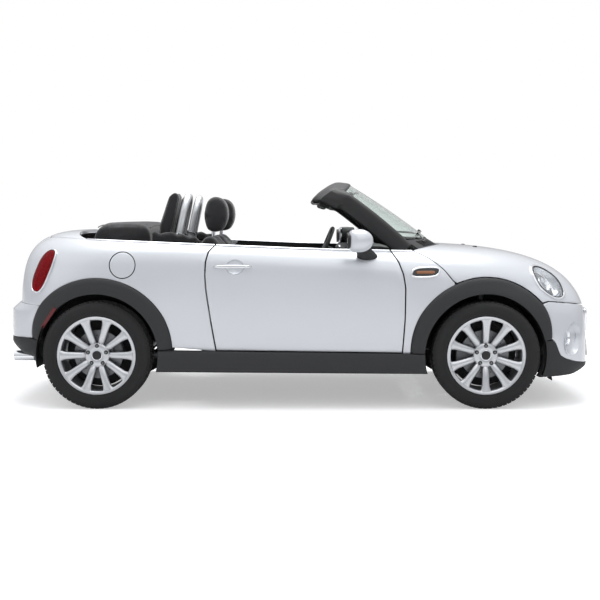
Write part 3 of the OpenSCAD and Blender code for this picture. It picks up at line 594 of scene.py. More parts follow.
def block(x0, x1, y0, y1, z0, z1):
    return extruded([(x0, z0), (x1, z0), (x1, z1), (x0, z1)], y0, y1)


# ---- Geometry Nodes: items repeated round a ring, and bars along paths ----


def node(tree, kind, inputs=None, **attributes):
    made = tree.nodes.new(kind)
    for key, value in attributes.items():
        setattr(made, key, value)
    for key, value in (inputs or {}).items():
        if isinstance(value, bpy.types.NodeSocket):
            tree.links.new(value, made.inputs[key])
        else:
            made.inputs[key].default_value = value
    return made


def new_tree(name, sockets):
    tree = bpy.data.node_groups.new(name, "GeometryNodeTree")
    tree.is_modifier = True
    tree.interface.new_socket("Geometry", in_out="INPUT", socket_type="NodeSocketGeometry")
    for label, kind, default in sockets:
        made = tree.interface.new_socket(label, in_out="INPUT", socket_type=kind)
        if default is not None:
            made.default_value = default
    tree.interface.new_socket("Geometry", in_out="OUTPUT", socket_type="NodeSocketGeometry")
    return tree


def close_tree(tree, geometry, material):
    """Makes any instances real, gives the whole its material and sends it out."""
    real = node(tree, "GeometryNodeRealizeInstances", {"Geometry": geometry})
    paint = node(tree, "GeometryNodeSetMaterial",
                 {"Geometry": real.outputs[0], "Material": material})
    node(tree, "NodeGroupOutput", {"Geometry": paint.outputs[0]})
    return tree


def ring_tree():
    """Repeats the incoming item round a circle about Z."""
    tree = new_tree("Ring of items", (
        ("Count", "NodeSocketInt", 5),
        ("Ring Radius", "NodeSocketFloat", 0.06),
        ("Phase", "NodeSocketFloat", 0.0),
        ("Material", "NodeSocketMaterial", None),
    ))
    ins = tree.nodes.new("NodeGroupInput").outputs
    ring = node(tree, "GeometryNodeMeshCircle",
                {"Vertices": ins["Count"], "Radius": ins["Ring Radius"]})
    index = node(tree, "GeometryNodeInputIndex")
    step = node(tree, "ShaderNodeMath", {0: 2 * math.pi, 1: ins["Count"]}, operation="DIVIDE")
    angle = node(tree, "ShaderNodeMath", {0: index.outputs[0], 1: step.outputs[0]},
                 operation="MULTIPLY")
    turn = node(tree, "ShaderNodeCombineXYZ", {"Z": angle.outputs[0]})
    items = node(tree, "GeometryNodeInstanceOnPoints", {
        "Points": ring.outputs["Mesh"], "Instance": ins["Geometry"],
        "Rotation": turn.outputs[0]})
    phase = node(tree, "ShaderNodeCombineXYZ", {"Z": ins["Phase"]})
    spun = node(tree, "GeometryNodeTransform",
                {"Geometry": items.outputs[0], "Rotation": phase.outputs[0]})
    return close_tree(tree, spun.outputs[0], ins["Material"])


def path_tree():
    """Lays a round bar along every edge path of the incoming mesh."""
    tree = new_tree("Bars along paths", (
        ("Bar Radius", "NodeSocketFloat", 0.003),
        ("Sides", "NodeSocketInt", 8),
        ("Material", "NodeSocketMaterial", None),
    ))
    ins = tree.nodes.new("NodeGroupInput").outputs
    curve = node(tree, "GeometryNodeMeshToCurve", {"Mesh": ins["Geometry"]})
    ring = node(tree, "GeometryNodeCurvePrimitiveCircle",
                {"Resolution": ins["Sides"], "Radius": ins["Bar Radius"]}, mode="RADIUS")
    tubes = node(tree, "GeometryNodeCurveToMesh", {
        "Curve": curve.outputs[0], "Profile Curve": ring.outputs[0], "Fill Caps": True})
    return close_tree(tree, tubes.outputs[0], ins["Material"])


def through(tree, mesh, values):
    """The plain mesh that a tree makes of a mesh, with its named inputs set."""
    carrier = linked("carrier", mesh)
    modifier = carrier.modifiers.new("Nodes", "NODES")
    modifier.node_group = tree
    for item in tree.interface.items_tree:
        if item.item_type == "SOCKET" and item.in_out == "INPUT" and item.name in values:
            modifier[item.identifier] = values[item.name]
    bake(carrier)
    made = carrier.data.copy()
    bpy.data.objects.remove(carrier)
    return made


def tree_named(name, maker):
    return bpy.data.node_groups.get(name) or maker()


def ring_of(item, count, radius, phase, material):
    """Points and faces of an item repeated round Z, in millimetres."""
    made = through(tree_named("Ring of items", ring_tree), mesh_of("item", item), {
        "Count": count, "Ring Radius": radius * MM, "Phase": math.radians(phase),
        "Material": material})
    verts = np.array([v.co for v in made.vertices], float).reshape(-1, 3) / MM
    return verts, [tuple(p.vertices) for p in made.polygons]


def bars(name, paths, radius, look, body="root", sides=6):
    """One piece of round bars along paths of points in millimetres."""
    verts, edges = [], []
    for path in paths:
        first = len(verts)
        verts += [tuple(np.asarray(p, float) * MM) for p in path]
        edges += [(i, i + 1) for i in range(first, len(verts) - 1)]
    mesh = bpy.data.meshes.new("paths")
    mesh.from_pydata(verts, edges, [])
    made = through(tree_named("Bars along paths", path_tree), mesh, {
        "Bar Radius": radius * MM, "Sides": sides, "Material": MATS[look]})
    return adopt(name, made, look, body)


# ---- Materials ----


def colour(text):
    """A hex colour as a screen shows it, in the renderer's linear light."""
    parts = [int(text[i:i + 2], 16) / 255 for i in (1, 3, 5)]
    return [p / 12.92 if p <= 0.04045 else ((p + 0.055) / 1.055) ** 2.4 for p in parts] + [1.0]


def add(material, kind, inputs=None, **attributes):
    return node(material.node_tree, kind, inputs, **attributes)


def surface(name, base, metallic=0.0, roughness=0.5, **sockets):
    found = bpy.data.materials.get(name)
    if found:
        bpy.data.materials.remove(found)
    made = bpy.data.materials.new(name)
    made.use_nodes = True
    shader = made.node_tree.nodes["Principled BSDF"]
    shader.inputs["Base Color"].default_value = colour(base)
    shader.inputs["Metallic"].default_value = metallic
    shader.inputs["Roughness"].default_value = roughness
    for key, value in sockets.items():
        shader.inputs[key.replace("_", " ")].default_value = value
    made.diffuse_color = colour(base)
    return made


def place(material, scale_mm):
    """Object coordinates, scaled so that one pattern unit is scale_mm long."""
    at = add(material, "ShaderNodeTexCoord")
    return add(material, "ShaderNodeMapping", {
        "Vector": at.outputs["Object"], "Scale": [1000 / scale_mm] * 3}).outputs[0]


def mottle(material, scale_mm, low, high, base, other):
    """Breaks up colour and roughness with soft noise."""
    shader = material.node_tree.nodes["Principled BSDF"]
    noise = add(material, "ShaderNodeTexNoise",
                {"Vector": place(material, scale_mm), "Scale": 1.0, "Detail": 4.0})
    rough = add(material, "ShaderNodeMapRange", {
        "Value": noise.outputs[0], "To Min": low, "To Max": high})
    mix = add(material, "ShaderNodeMix",
              {0: noise.outputs[0], 6: colour(base), 7: colour(other)}, data_type="RGBA")
    material.node_tree.links.new(rough.outputs[0], shader.inputs["Roughness"])
    material.node_tree.links.new(mix.outputs[2], shader.inputs["Base Color"])


def relief(material, kind, scale_mm, depth_mm, **attributes):
    shader = material.node_tree.nodes["Principled BSDF"]
    inputs = {"Vector": place(material, scale_mm), "Scale": 1.0}
    pattern = add(material, kind, inputs, **attributes)
    bump = add(material, "ShaderNodeBump", {
        "Height": pattern.outputs[0], "Strength": 1.0, "Distance": depth_mm * MM})
    material.node_tree.links.new(bump.outputs[0], shader.inputs["Normal"])


def weave(material, pitch_mm, depth_mm):
    """Crossed threads on Object coordinates."""
    shader = material.node_tree.nodes["Principled BSDF"]
    at = place(material, pitch_mm)
    one = add(material, "ShaderNodeTexWave", {"Vector": at, "Scale": 0.31},
              bands_direction="Y")
    two = add(material, "ShaderNodeTexWave", {"Vector": at, "Scale": 0.31},
              bands_direction="DIAGONAL")
    both = add(material, "ShaderNodeMath", {0: one.outputs[1], 1: two.outputs[1]},
               operation="MAXIMUM")
    bump = add(material, "ShaderNodeBump", {
        "Height": both.outputs[0], "Strength": 0.7, "Distance": depth_mm * MM})
    material.node_tree.links.new(bump.outputs[0], shader.inputs["Normal"])


def make_materials(looks):
    made = {}
    # Silver-white metallic lacquer: fine flakes under a clear coat, so highlights stay crisp
    paint = surface("Silver white lacquer", looks.paint, 0.35, 0.34,
                    Coat_Weight=1.0, Coat_Roughness=0.03, Coat_IOR=1.5)
    relief(paint, "ShaderNodeTexNoise", 1.6, 0.004)
    made["paint"] = paint
    # Grained dark plastic of the arches and sills: dull, with a fine leather grain
    trim = surface("Grained dark plastic", "#232425", 0.0, 0.62)
    mottle(trim, 60, 0.55, 0.7, "#202122", "#27282A")
    relief(trim, "ShaderNodeTexVoronoi", 1.8, 0.1)
    made["trim"] = trim
    # Moulded black plastic: an even low sheen
    made["black"] = surface("Moulded black plastic", "#161617", 0.0, 0.48)
    relief(made["black"], "ShaderNodeTexNoise", 1.2, 0.03)
    # Black lacquered plastic: a clear, dark mirror
    made["gloss"] = surface("Gloss black plastic", "#0B0B0C", 0.0, 0.16, Coat_Weight=0.4)
    # Rubber seals and buffers: soft, with no highlight edge. The same near black is also painted
    # into the wheels' bolt pockets and drilled disc holes as their shade
    made["rubber_and_hole_shade"] = surface("Seal rubber and painted hole shade", "#111112", 0.0, 0.7)
    # Underbody coating: thick, matt and slightly lumpy
    made["under"] = surface("Underbody coating", "#1C1C1E", 0.0, 0.8)
    relief(made["under"], "ShaderNodeTexNoise", 6, 0.4)
    # Sand-cast metal of engine and axle parts
    made["cast"] = surface("Sand-cast metal", "#6B6C6E", 0.9, 0.55)
    relief(made["cast"], "ShaderNodeTexNoise", 1.5, 0.12)
    # Machined steel: bright with fine turning marks
    made["steel"] = surface("Machined steel", "#77797B", 1.0, 0.36, Anisotropic=0.5)
    mottle(made["steel"], 8, 0.3, 0.45, "#6C6E70", "#838587")
    # Chrome plating: a mirror, faintly blue
    made["chrome"] = surface("Chrome plating", "#E9EBEE", 1.0, 0.05)
    # Lacquered cast alloy of the wheels: satin silver under clear lacquer
    made["alloy"] = surface("Lacquered cast alloy", "#C7C9CC", 0.85, 0.3,
                            Coat_Weight=0.5, Coat_Roughness=0.08)
    relief(made["alloy"], "ShaderNodeTexNoise", 1.4, 0.006)
    # Satin aluminium tube of the roll hoops
    made["hoop"] = surface("Satin aluminium tube", "#D6D8DA", 0.75, 0.34)
    mottle(made["hoop"], 60, 0.3, 0.38, "#D2D4D6", "#DADCDE")
    # Tyre rubber: near black, dry, a little dusty
    made["tyre"] = surface("Tyre rubber", "#171718", 0.0, 0.8)
    mottle(made["tyre"], 45, 0.72, 0.88, "#131314", "#1C1C1D")
    # Laminated glass, faint green through its thickness
    made["glass"] = surface("Laminated glass", "#E9F1EE", 0.0, 0.0,
                            Transmission_Weight=1.0, IOR=1.12)
    # Clear polycarbonate of the lamps
    made["clear"] = surface("Clear polycarbonate", "#E8EDF2", 0.0, 0.02, Alpha=0.16,
                            IOR=1.58)
    # Red acrylic of the tail lamps: deep colour, glossy face
    made["red"] = surface("Red acrylic", "#C00C20", 0.0, 0.06, Transmission_Weight=0.8,
                          IOR=1.2)
    # Deep red of the elements behind the cover
    made["deep_red"] = surface("Deep red moulding", "#5E0910", 0.0, 0.3)
    # Amber acrylic of the side vent's marker
    made["amber"] = surface("Amber acrylic", "#8C5A38", 0.0, 0.14)
    # White acrylic of the blank number plate
    made["white"] = surface("White acrylic", "#DDDEE0", 0.0, 0.2, Coat_Weight=0.4)
    # Vapour-coated reflector behind a lamp lens
    made["reflector"] = surface("Vapour-coated reflector", "#B9BDC2", 1.0, 0.16)
    # Cloth of the seats: dark, with a woven grain and a soft edge glow
    made["cloth"] = surface("Woven dark cloth", "#1E1E20", 0.0, 0.92, Sheen_Weight=0.35)
    weave(made["cloth"], 1.6, 0.35)
    # Roof canvas: coarser than the seats, almost black
    made["canvas"] = surface("Woven roof canvas", "#161618", 0.0, 0.9, Sheen_Weight=0.3)
    weave(made["canvas"], 2.2, 0.4)
    # Stitching thread
    made["thread"] = surface("Grey thread", "#48484B", 0.0, 0.8, Sheen_Weight=0.3)
    # Leather of the steering wheel rim
    made["leather"] = surface("Smooth black leather", "#18181A", 0.0, 0.42)
    relief(made["leather"], "ShaderNodeTexVoronoi", 2.2, 0.08)
    # Floor carpet: short dense pile
    made["carpet"] = surface("Floor carpet", "#1B1B1D", 0.0, 0.97, Sheen_Weight=0.4)
    relief(made["carpet"], "ShaderNodeTexNoise", 1.2, 0.6)
    # Silvered mirror glass
    made["mirror"] = surface("Silvered mirror", "#EDF0F2", 1.0, 0.01)
    # Pale instrument faces
    made["dial"] = surface("Printed dial face", "#C9CBCC", 0.0, 0.4)
    return made


FINISH = {
    "floor_pan": "under", "arch_liners": "black", "engine": "cast",
    "front_suspension": "cast", "rear_suspension": "cast", "knuckle_right": "cast",
    "knuckle_left": "cast", "exhaust": "steel", "centre_console": "black",
}


def repaint(name, material):
    """Gives a carried-over CAD node its finish."""
    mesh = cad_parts[name].data
    mesh.materials.clear()
    mesh.materials.append(material)


# ---- Painted panels ----


def door_shape(side):
    """Outer and inner grids of a door, thin ahead of its hinge pillar."""
    u = np.linspace(0, 1, 37)[:, None]
    v = np.linspace(0, 1, 33)[None, :]
    zm = lerp(SILL_Z, BELT_Z, v)
    x = door_rear_x(zm) + (door_front_x(zm) - door_rear_x(zm)) * u
    z = sill_top(x) + SHUT_GAP
    z = z + (shoulder_z(x) - z) * v
    x = door_rear_x(z) + (door_front_x(z) - door_rear_x(z)) * u
    outer = side_pt(x, z)
    deep = np.maximum(36, -outer[..., 1] - (HALF_W - DOOR_T))
    fore = np.broadcast_to(u >= 13 / 14 - 1e-6, deep.shape)
    deep = np.where(fore, 26.0, deep)
    inner = outer.copy()
    inner[..., 1] += deep
    inner[0, :, 0] += deep[0] * 0.1
    return on_side(side, outer, inner)


def panel(name, outer, inner, look, node, body="root", edge=2.0, angle=50.0):
    """A body panel between two grids, with rounded edges."""
    piece = keep(name, slab(outer, inner), look, body, [node])
    return round_edges(piece, edge, 2, angle)


def sheet(name, grid, look, node, body="root", angle=50.0):
    """A body panel of the usual thickness, laid on the skin."""
    return panel(name, on_body(grid), on_body(grid, PANEL_T), look, node, body, angle=angle)


def ball(at, radii, k=24):
    t = np.linspace(0.03, math.pi - 0.03, 13)
    rings = [[(at[0] + radii[0] * math.sin(b) * math.cos(a),
               at[1] + radii[1] * math.sin(b) * math.sin(a), at[2] + radii[2] * math.cos(b))
              for a in turns(k)] for b in t]
    return loft(np.array(rings))


HANDLE = (REAR_AXLE + 851, 875.0)


def build_doors(looks):
    for name, side in SIDES:
        outer, inner = door_shape(side)
        door = panel("door_skin_" + name, outer, inner, "paint", "door_" + name,
                     "door_" + name, 2.2, 40)
        at = side_pt(HANDLE[0], HANDLE[1], side)
        cut(door, [ball(at + [0, side * 6, 0], (58, 34, 50))])
        # The dark inner lining, seen over the door's edge
        card = inner[2:-3, 4:]
        lining = slab(card - [0, side * 1.0, 0], card - [0, side * 5.0, 0])
        keep("door_lining_" + name, lining, "black", "door_" + name, slot=None, smooth=40)


def side_panel_grid(side):
    """The panel between the door, the hood and the front wheel arch."""
    b_top = HOOD_FOOT_B + 0.3
    foot = sill_top(FRONT_AXLE - TRIM_R) + 2 * SEAT_GAP
    b_foot = 180 - math.degrees(math.asin((foot - TYRE_R) / (trim_edge(170) + CHORD_GAP)))
    arc = panel_edge(1, np.linspace(b_foot, b_top, 30))
    z = np.linspace(790, 970, 14)
    up = side_pt(hood_side_x(z) - SHUT_GAP - 2, z)
    front = resample(np.concatenate([arc, up]), 45)
    n = len(front) - 1
    head = shoulder_z(door_front_x(980))
    z = np.linspace(foot, head, n + 1)
    rear = side_pt(door_front_x(z) + SHUT_GAP + 1.5, z)
    end_x = COWL_SIDE - SHUT_GAP - 2
    front[-1] = side_pt(end_x, shoulder_z(end_x))
    t = np.linspace(0, 1, 17)[:, None, None]
    flat = rear[None] + (front - rear)[None] * t
    outer = side_pt(flat[..., 0], flat[..., 2])
    inner = outer + [0, PANEL_T, 0]
    inner = inner + (on_body(outer, PANEL_T) - inner) * t
    return on_side(side, outer, inner)


# Where the rear bumper's top line meets the arch trim, and its level at the tail
BUMPER_TOP = 640.0
BUMPER_LEVEL = BUMPER_TOP + RAKE * TAIL_TIP
BUMPER_B = math.degrees(math.asin(
    (BUMPER_TOP - RAKE * (REAR_OVERHANG - 0.77 * TRIM_R) - TYRE_R) / (TRIM_R + CHORD_GAP)))
# Half the boot opening between the tail lamps
LAMP_Y = 430.0


def quarter_grid(side):
    """The panel behind the door, over the rear wheel arch and up to the tail lamp."""
    arch_x = REAR_AXLE + ARCH_R
    b_end = 180 - math.degrees(math.asin((sill_top(arch_x) + 2 - TYRE_R) / ARCH_R)) - 1
    arc = panel_edge(-1, np.linspace(BUMPER_B, b_end, 60))
    z_foot = sill_top(REAR_AXLE + 738) + 2 * SEAT_GAP
    foot = side_pt(door_rear_x(z_foot) - SHUT_GAP - 2, z_foot)
    tail = tail_pt(np.linspace(-LAMP_Y, arc[0][1], 15)[:-1], BUMPER_LEVEL)
    below = np.concatenate([tail, arc, [lerp(arc[-1], foot, f) for f in (0.25, 0.5, 0.75, 1)]])
    n = len(below) - 1
    z_head = shoulder_z(REAR_AXLE + 715)
    head_x = door_rear_x(z_head) - SHUT_GAP - 2
    x = np.linspace(tail_pt(-LAMP_Y, SHOULDER)[0], head_x, n + 1)
    above = side_pt(x, shoulder_z(x))
    back = tail_pt(-LAMP_Y, np.linspace(BUMPER_LEVEL, SHOULDER, 41))
    z = np.interp(np.linspace(0, 12, 41), range(13),
                  [z_foot, 430, 510, 590, 670, 735, 780, 826, 865, 905, 940, 965, z_head])
    front = side_pt(door_rear_x(z) - SHUT_GAP - 2, z)
    grid = patch(below, above, back, front)
    t = np.clip((grid[..., :1] - REAR_AXLE - 400) / 200, 0, 1)
    outer = on_body(grid)
    inner = on_body(grid, PANEL_T)
    inner = inner + (outer + [0, PANEL_T, 0] - inner) * t
    return on_side(side, outer, inner)


FLAP = (REAR_AXLE + 162, 884.0)
FLAP_R = 77.0
FLAP_GAP = 6.0


def rod(a, b, r, k=48):
    """A plain round bar between two points."""
    a, b = np.asarray(a, float), np.asarray(b, float)
    return sweep([a, b], circle(r, k))


def build_sides(looks):
    for name, side in SIDES:
        panel("front_side_panel_" + name, *side_panel_grid(side), "paint",
              "front_side_panels", angle=40)
        quarter = panel("quarter_panel_" + name, *quarter_grid(side), "paint",
                        "quarter_panels", angle=40)
        if side < 0:
            cut(quarter, [rod((FLAP[0], -HALF_W - 40, FLAP[1]), (FLAP[0], -HALF_W + 96, FLAP[1]),
                              FLAP_R + FLAP_GAP)])
        cut(quarter, [tail_hole(side)])
    # The filler's cup, its cap and the hinged flap
    rim = ring_on(FLAP, FLAP_R + FLAP_GAP + 2, 48)
    deep = rim * [1, 0, 1] + [0, -HALF_W + 100, 0]
    floor = np.array([FLAP[0], -HALF_W + 100, FLAP[1]])
    cup = loft([rim + [0, 6, 0], deep, floor + (deep - floor) * 0.02,
                floor + (deep - floor) * 0.02 + [0, 3, 0], deep + [0, 3, 0],
                rim + [0, 6, 0] + (rim - floor) * [0.03, 0, 0.03]], closed=True)
    keep("filler_cup", cup, "black")
    cap = placed(dome(34, 16), floor + [12, -2, 0], (1, 0, 0), (0, 0, 1), (0, -1, 0))
    grip = placed(extruded([(-26, 0), (26, 0), (22, 20), (-22, 20)], -5, 5),
                  floor + [12, -10, 0], (1, 0, 0), (0, 0, 1), (0, -1, 0))
    keep("filler_cap", joined(cap, grip), "black")
    fs = np.linspace(0.02, 1, 12)
    rows = np.array([ring_on(FLAP, FLAP_R * f, 64) for f in fs])
    flap = loft(np.concatenate([rows, rows[::-1] + [0, 4, 0]]))
    piece = keep("fuel_flap_skin", flap, "paint", "fuel_flap", ["fuel_flap"])
    round_edges(piece, 1.4, 2)


def ring_on(at, r, k):
    """A ring seen from the right side, laid on the body skin."""
    a = turns(k)
    return side_pt(at[0] + r * np.cos(a), at[1] + r * np.sin(a))


def build_rear(looks):
    rim = SHOULDER + 3 * SEAT_GAP
    deck_x = REAR_AXLE - 90
    x = np.linspace(deck_x, tail_pt(-LAMP_Y, rim)[0], 37)
    right = side_pt(x, rim - RAKE * x)
    corner_y = right[0][1]
    s = np.linspace(1, -1, 49)
    y = -s * corner_y
    over = skin(np.stack([deck_x - 90 * (1 - np.abs(s) ** 6), y, 300 + 0 * s], -1),
                np.stack([deck_x - 90 * (1 - np.abs(s) ** 6), y, 800 + 0 * s], -1))
    over[0] = right[0] * [1, -1, 1]
    over[-1] = right[0]
    rear = tail_pt(s * LAMP_Y, rim)
    grid = patch(mirror_y(right), right, over, rear)
    sheet("rear_deck_skin", grid, "paint", "rear_deck", angle=40)
    lid_y = LAMP_Y - SHUT_GAP
    low, high = 640 + 9.6 + RAKE * TAIL_TIP, SHOULDER - SHUT_GAP
    y = np.linspace(lid_y, -lid_y, 41)
    grid = patch(tail_pt(lid_y, np.linspace(high, low, 31)),
                 tail_pt(-lid_y, np.linspace(high, low, 31)), tail_pt(y, high), tail_pt(y, low))
    sheet("boot_lid_skin", grid, "paint", "boot_lid", "boot_lid", 40)
    # Bright pull above the plate, and its two feet
    y = np.linspace(-150, 150, 25)
    path = tail_pt(y, 885 + RAKE * TAIL_TIP) + [-9, 0, 0]
    pull = sweep(path, soft_box(9, 5), up=(-1, 0, 0))
    ends = [ball(path[k] + [5, 0, 0], (9, 8, 9), 16) for k in (0, -1)]
    keep("boot_pull", joined(pull, *ends), "chrome", "boot_lid")
    lamp = tail_pt(np.linspace(-110, 110, 25), 958 + RAKE * TAIL_TIP) + [-1.5, 0, 0]
    keep("high_brake_lamp", sweep(lamp, soft_box(6, 2.5), up=(-1, 0, 0.3)), "red", "boot_lid")
    rear_plate()


def rear_plate():
    """A blank number plate in a thin black holder, with two screws."""
    x, z, tilt = TAIL_TIP - 8, 770.0, math.radians(12)
    across = (0, 1, 0)
    up = (math.sin(tilt), 0, math.cos(tilt))
    out = (-math.cos(tilt), 0, math.sin(tilt))
    holder = sweep([(0, 0, -5), (0, 0, 2)], soft_box(265, 58, 14, 56), up=(0, 1, 0))
    face = sweep([(0, 0, 2), (0, 0, 4)], soft_box(258, 53, 16, 56), up=(0, 1, 0))
    keep("plate_holder_rear", placed(holder, (x, 0, z), across, up, out), "black", "boot_lid")
    keep("plate_rear", placed(face, (x, 0, z), across, up, out), "white", "boot_lid")
    heads = [placed(dome(5, 2.5, 16), np.array((x, 0, z)) + np.array(across) * s * 210
                    + np.array(out) * 4, across, up, out) for s in (-1, 1)]
    keep("plate_screws_rear", joined(*heads), "steel", "boot_lid", slot=None)


COWL_FRONT = FRONT_AXLE - 201
COWL_SIDE = FRONT_AXLE - 438


def cowl_edge(s, back=0.0):
    """The hood's rear edge, s across from -1 to 1, moved back by some millimetres."""
    s = np.asarray(s, float)
    x = COWL_FRONT + (COWL_SIDE - COWL_FRONT) * np.abs(s) ** 2.4 - back
    z = float(shoulder_z(COWL_SIDE))
    y = s * side_y(COWL_SIDE, z)
    top = skin(np.stack([x, y, 300 + 0 * s], -1), np.stack([x, y, 800 + 0 * s], -1))
    ends = np.abs(s) == 1
    top[ends] = np.stack([x[ends], np.sign(s[ends]) * side_y(COWL_SIDE - back, z),
                          z + 0 * s[ends]], -1)
    return top


def hood_line(s, drop, corner_pt):
    """The shut line round the nose between hood and bumper."""
    z = 592 + (corner_pt[2] - 592) * np.abs(s) ** 1.6
    return nose_pt(-s * corner_pt[1], z + RAKE * (NOSE_TIP - 60 * s * s) - drop)


JET_X = FRONT_AXLE + 10.5
# Angles round the front wheel between which the hood follows the arch trim
HOOD_GAP = CHORD_GAP + SHUT_GAP
HOOD_FOOT_B = 180 - math.degrees(math.atan2(768 - TYRE_R, 185))
HOOD_B = math.degrees(math.asin((650 - TYRE_R) / (TRIM_R + HOOD_GAP)))


def build_hood(looks):
    z = np.array([955.0, 930, 900, 865, 830, 795])
    shut = side_pt(hood_side_x(z), z)
    arc = panel_edge(1, np.linspace(HOOD_FOOT_B - 0.8, HOOD_B, 12), HOOD_GAP)
    first = cowl_edge(np.array([-1.0]))
    right = np.concatenate([first, shut, arc])
    fine = np.concatenate([np.linspace(right[i], right[i + 1], 4)[:-1]
                           for i in range(len(right) - 1)] + [right[-1:]])
    right = side_pt(fine[:, 0], fine[:, 2])
    corner_pt = right[-1]
    s = np.linspace(-1, 1, 73)
    rear = cowl_edge(s)
    right[0], left = rear[0], mirror_y(right)
    left[0] = rear[-1]
    front = hood_line(s, 0, corner_pt)
    front[0], front[-1] = right[-1], left[-1]
    hood = sheet("hood_skin", patch(right, left, rear, front), "paint", "hood", "hood")
    cut(hood, [head_hole(-1), head_hole(1)])
    # Two washer jets
    jets = []
    for y in (-260.0, 260.0):
        top = skin((JET_X, y, 300), (JET_X, y, 800))
        jets.append(ball(top, (16, 11, 7), 16))
    keep("washer_jets", joined(*jets), "black", "hood")


# Height of the painted bumpers' lower edges on the centre line
FRONT_FOOT = 245
REAR_FOOT = 430


def front_foot():
    """The front bumper's lower edge, from the wheel arch to the centre line."""
    side_edge = ((444, 403), (461, 360), (478, 322), (514, 300), (583, 278), (661, 262))
    line = [side_pt(fx(along), z) for along, z in side_edge]
    y = np.arange(-480, -119, 120.0)
    line += list(nose_pt(y, FRONT_FOOT + 17 * (y / 578) ** 2 + RAKE * NOSE_TIP))
    return line + [nose_pt(0.0, FRONT_FOOT + RAKE * NOSE_TIP)]


def front_bumper():
    foot = both_halves(resample([panel_edge(1, 13)] + front_foot(), 37))
    right = panel_edge(1, np.linspace(HOOD_B - 1.2, 13, 31))
    top = hood_line(np.linspace(-1, 1, len(foot)), SHUT_GAP, panel_edge(1, HOOD_B, HOOD_GAP))
    top[0], top[-1] = right[0], mirror_y(right)[0]
    grid = patch(right, mirror_y(right), top, foot)
    bumper = sheet("front_bumper_skin", grid, "paint", "front_bumper")
    cut(bumper, [fog_scoop(-1), fog_scoop(1)])


def front_valance():
    drop = np.array([0, 0, -1.5])
    top_half = resample([arch_pt(1, ARCH_R + 4, 12.5), panel_edge(1, 12) + drop]
                        + [p + drop for p in front_foot()], 37)
    low = top_half - [20, 0, 0]
    low[:, 2] = 172 + 18 * np.linspace(0, 1, 37)
    low = on_body(low)
    low[0] = arch_pt(1, ARCH_R + 4, -18)
    low[-1] = on_body(np.array([NOSE_TIP - 90, 0, 190.0]))
    right = arch_pt(1, ARCH_R + 4, np.linspace(12.5, -18, 13))
    grid = patch(right, mirror_y(right), both_halves(top_half), both_halves(low))
    panel("front_valance_skin", on_body(grid), on_body(grid, PANEL_T - 4), "trim",
          "front_valance")


def tail_grid(right, low, high):
    """A panel round the tail between two side edges, from level low to level high."""
    s = np.linspace(1, -1, 61)
    top = tail_pt(s * right[-1][1], high)
    top[0], top[-1] = right[-1], mirror_y(right)[-1]
    foot = tail_pt(s * right[0][1], low)
    foot[0], foot[-1] = right[0], mirror_y(right)[0]
    return patch(foot, top, right, mirror_y(right))


def rear_bumper():
    grid = tail_grid(panel_edge(-1, np.linspace(13, BUMPER_B - 0.4, 25)),
                     REAR_FOOT + RAKE * TAIL_TIP, BUMPER_LEVEL - 3 * SEAT_GAP)
    panel("rear_bumper_skin", bulged(on_body(grid)), on_body(grid, PANEL_T), "paint",
          "rear_bumper")


def rear_valance():
    grid = tail_grid(arch_pt(-1, ARCH_R + 4, np.linspace(-12, 12.5, 17)),
                     255 + RAKE * TAIL_TIP, REAR_FOOT - LENS_GAP + RAKE * TAIL_TIP)
    valance = panel("rear_valance_skin", dropped(on_body(grid)),
                    dropped(on_body(grid, PANEL_T)), "trim", "rear_valance")
    # A notch for the tailpipe, open below
    pipe = (PIPE_Y, PIPE_Z)
    cut(valance, [rod((TAIL_TIP - 50, *pipe), (TAIL_TIP + 240, *pipe), 41),
                  block(TAIL_TIP - 50, TAIL_TIP + 240, PIPE_Y - 40, PIPE_Y + 40, 150, PIPE_Z)],
        "FAST")


def build_bumpers(looks):
    front_bumper()
    front_valance()
    rear_bumper()
    rear_valance()


PIPE_Y, PIPE_Z = -470.0, 288.0
VALANCE_BULGE = 54.0


def dropped(p):
    """Carries the bumper's overhang on into the dark valance below it."""
    t = np.clip((REAR_AXLE - 374 - p[..., 0]) / 70, 0, 1)
    f = lookup(p[..., 2], ((170, 1.1), (250, 1.3), (330, 1.2), (430, 1)))
    out = p.copy()
    out[..., 0] -= VALANCE_BULGE * f * ease(t)
    return out


def bulged(p):
    """Pushes the rear bumper out behind the body skin."""
    t = np.clip((REAR_AXLE - 390 - p[..., 0]) / 120, 0, 1)
    f = lookup(p[..., 2], ((400, 0.8), (430, 1), (598, 1), (640, 0.15), (645, 0)))
    out = p.copy()
    out[..., 0] -= BULGE * f * ease(t)
    return out


def build_trims(looks):
    for name, side in SIDES:
        for way, end in ENDS:
            x = axle_x(way) - way * ARCH_R
            b1 = 180 - math.degrees(math.asin((float(sill_top(x)) + 2 - TYRE_R) / ARCH_R))
            b = np.linspace(13, b1, 73)[:, None]
            f = np.array([0, 0.03, 0.1, 0.25, 0.45, 0.65, 0.85, 0.96, 1])[None, :]
            r = ARCH_R + (trim_edge(b) - ARCH_R) * f
            p = arch_pt(way, r, np.broadcast_to(b, r.shape))
            lift_by = np.interp(f[0], [0, 0.05, 0.25, 0.9, 1], [18, 20, 20, 14, 3])
            thick = np.interp(f[0], [0, 0.05, 0.25, 0.9, 1], [30, 30, 18, 4, 3])
            outer, inner = p.copy(), p.copy()
            outer[..., 1] -= lift_by
            inner[..., 1] += thick
            panel("arch_trim_%s_%s" % (end, name), *on_side(side, outer, inner), "trim",
                  "wheel_arch_trims", edge=2.5)
        build_sill(name, side)


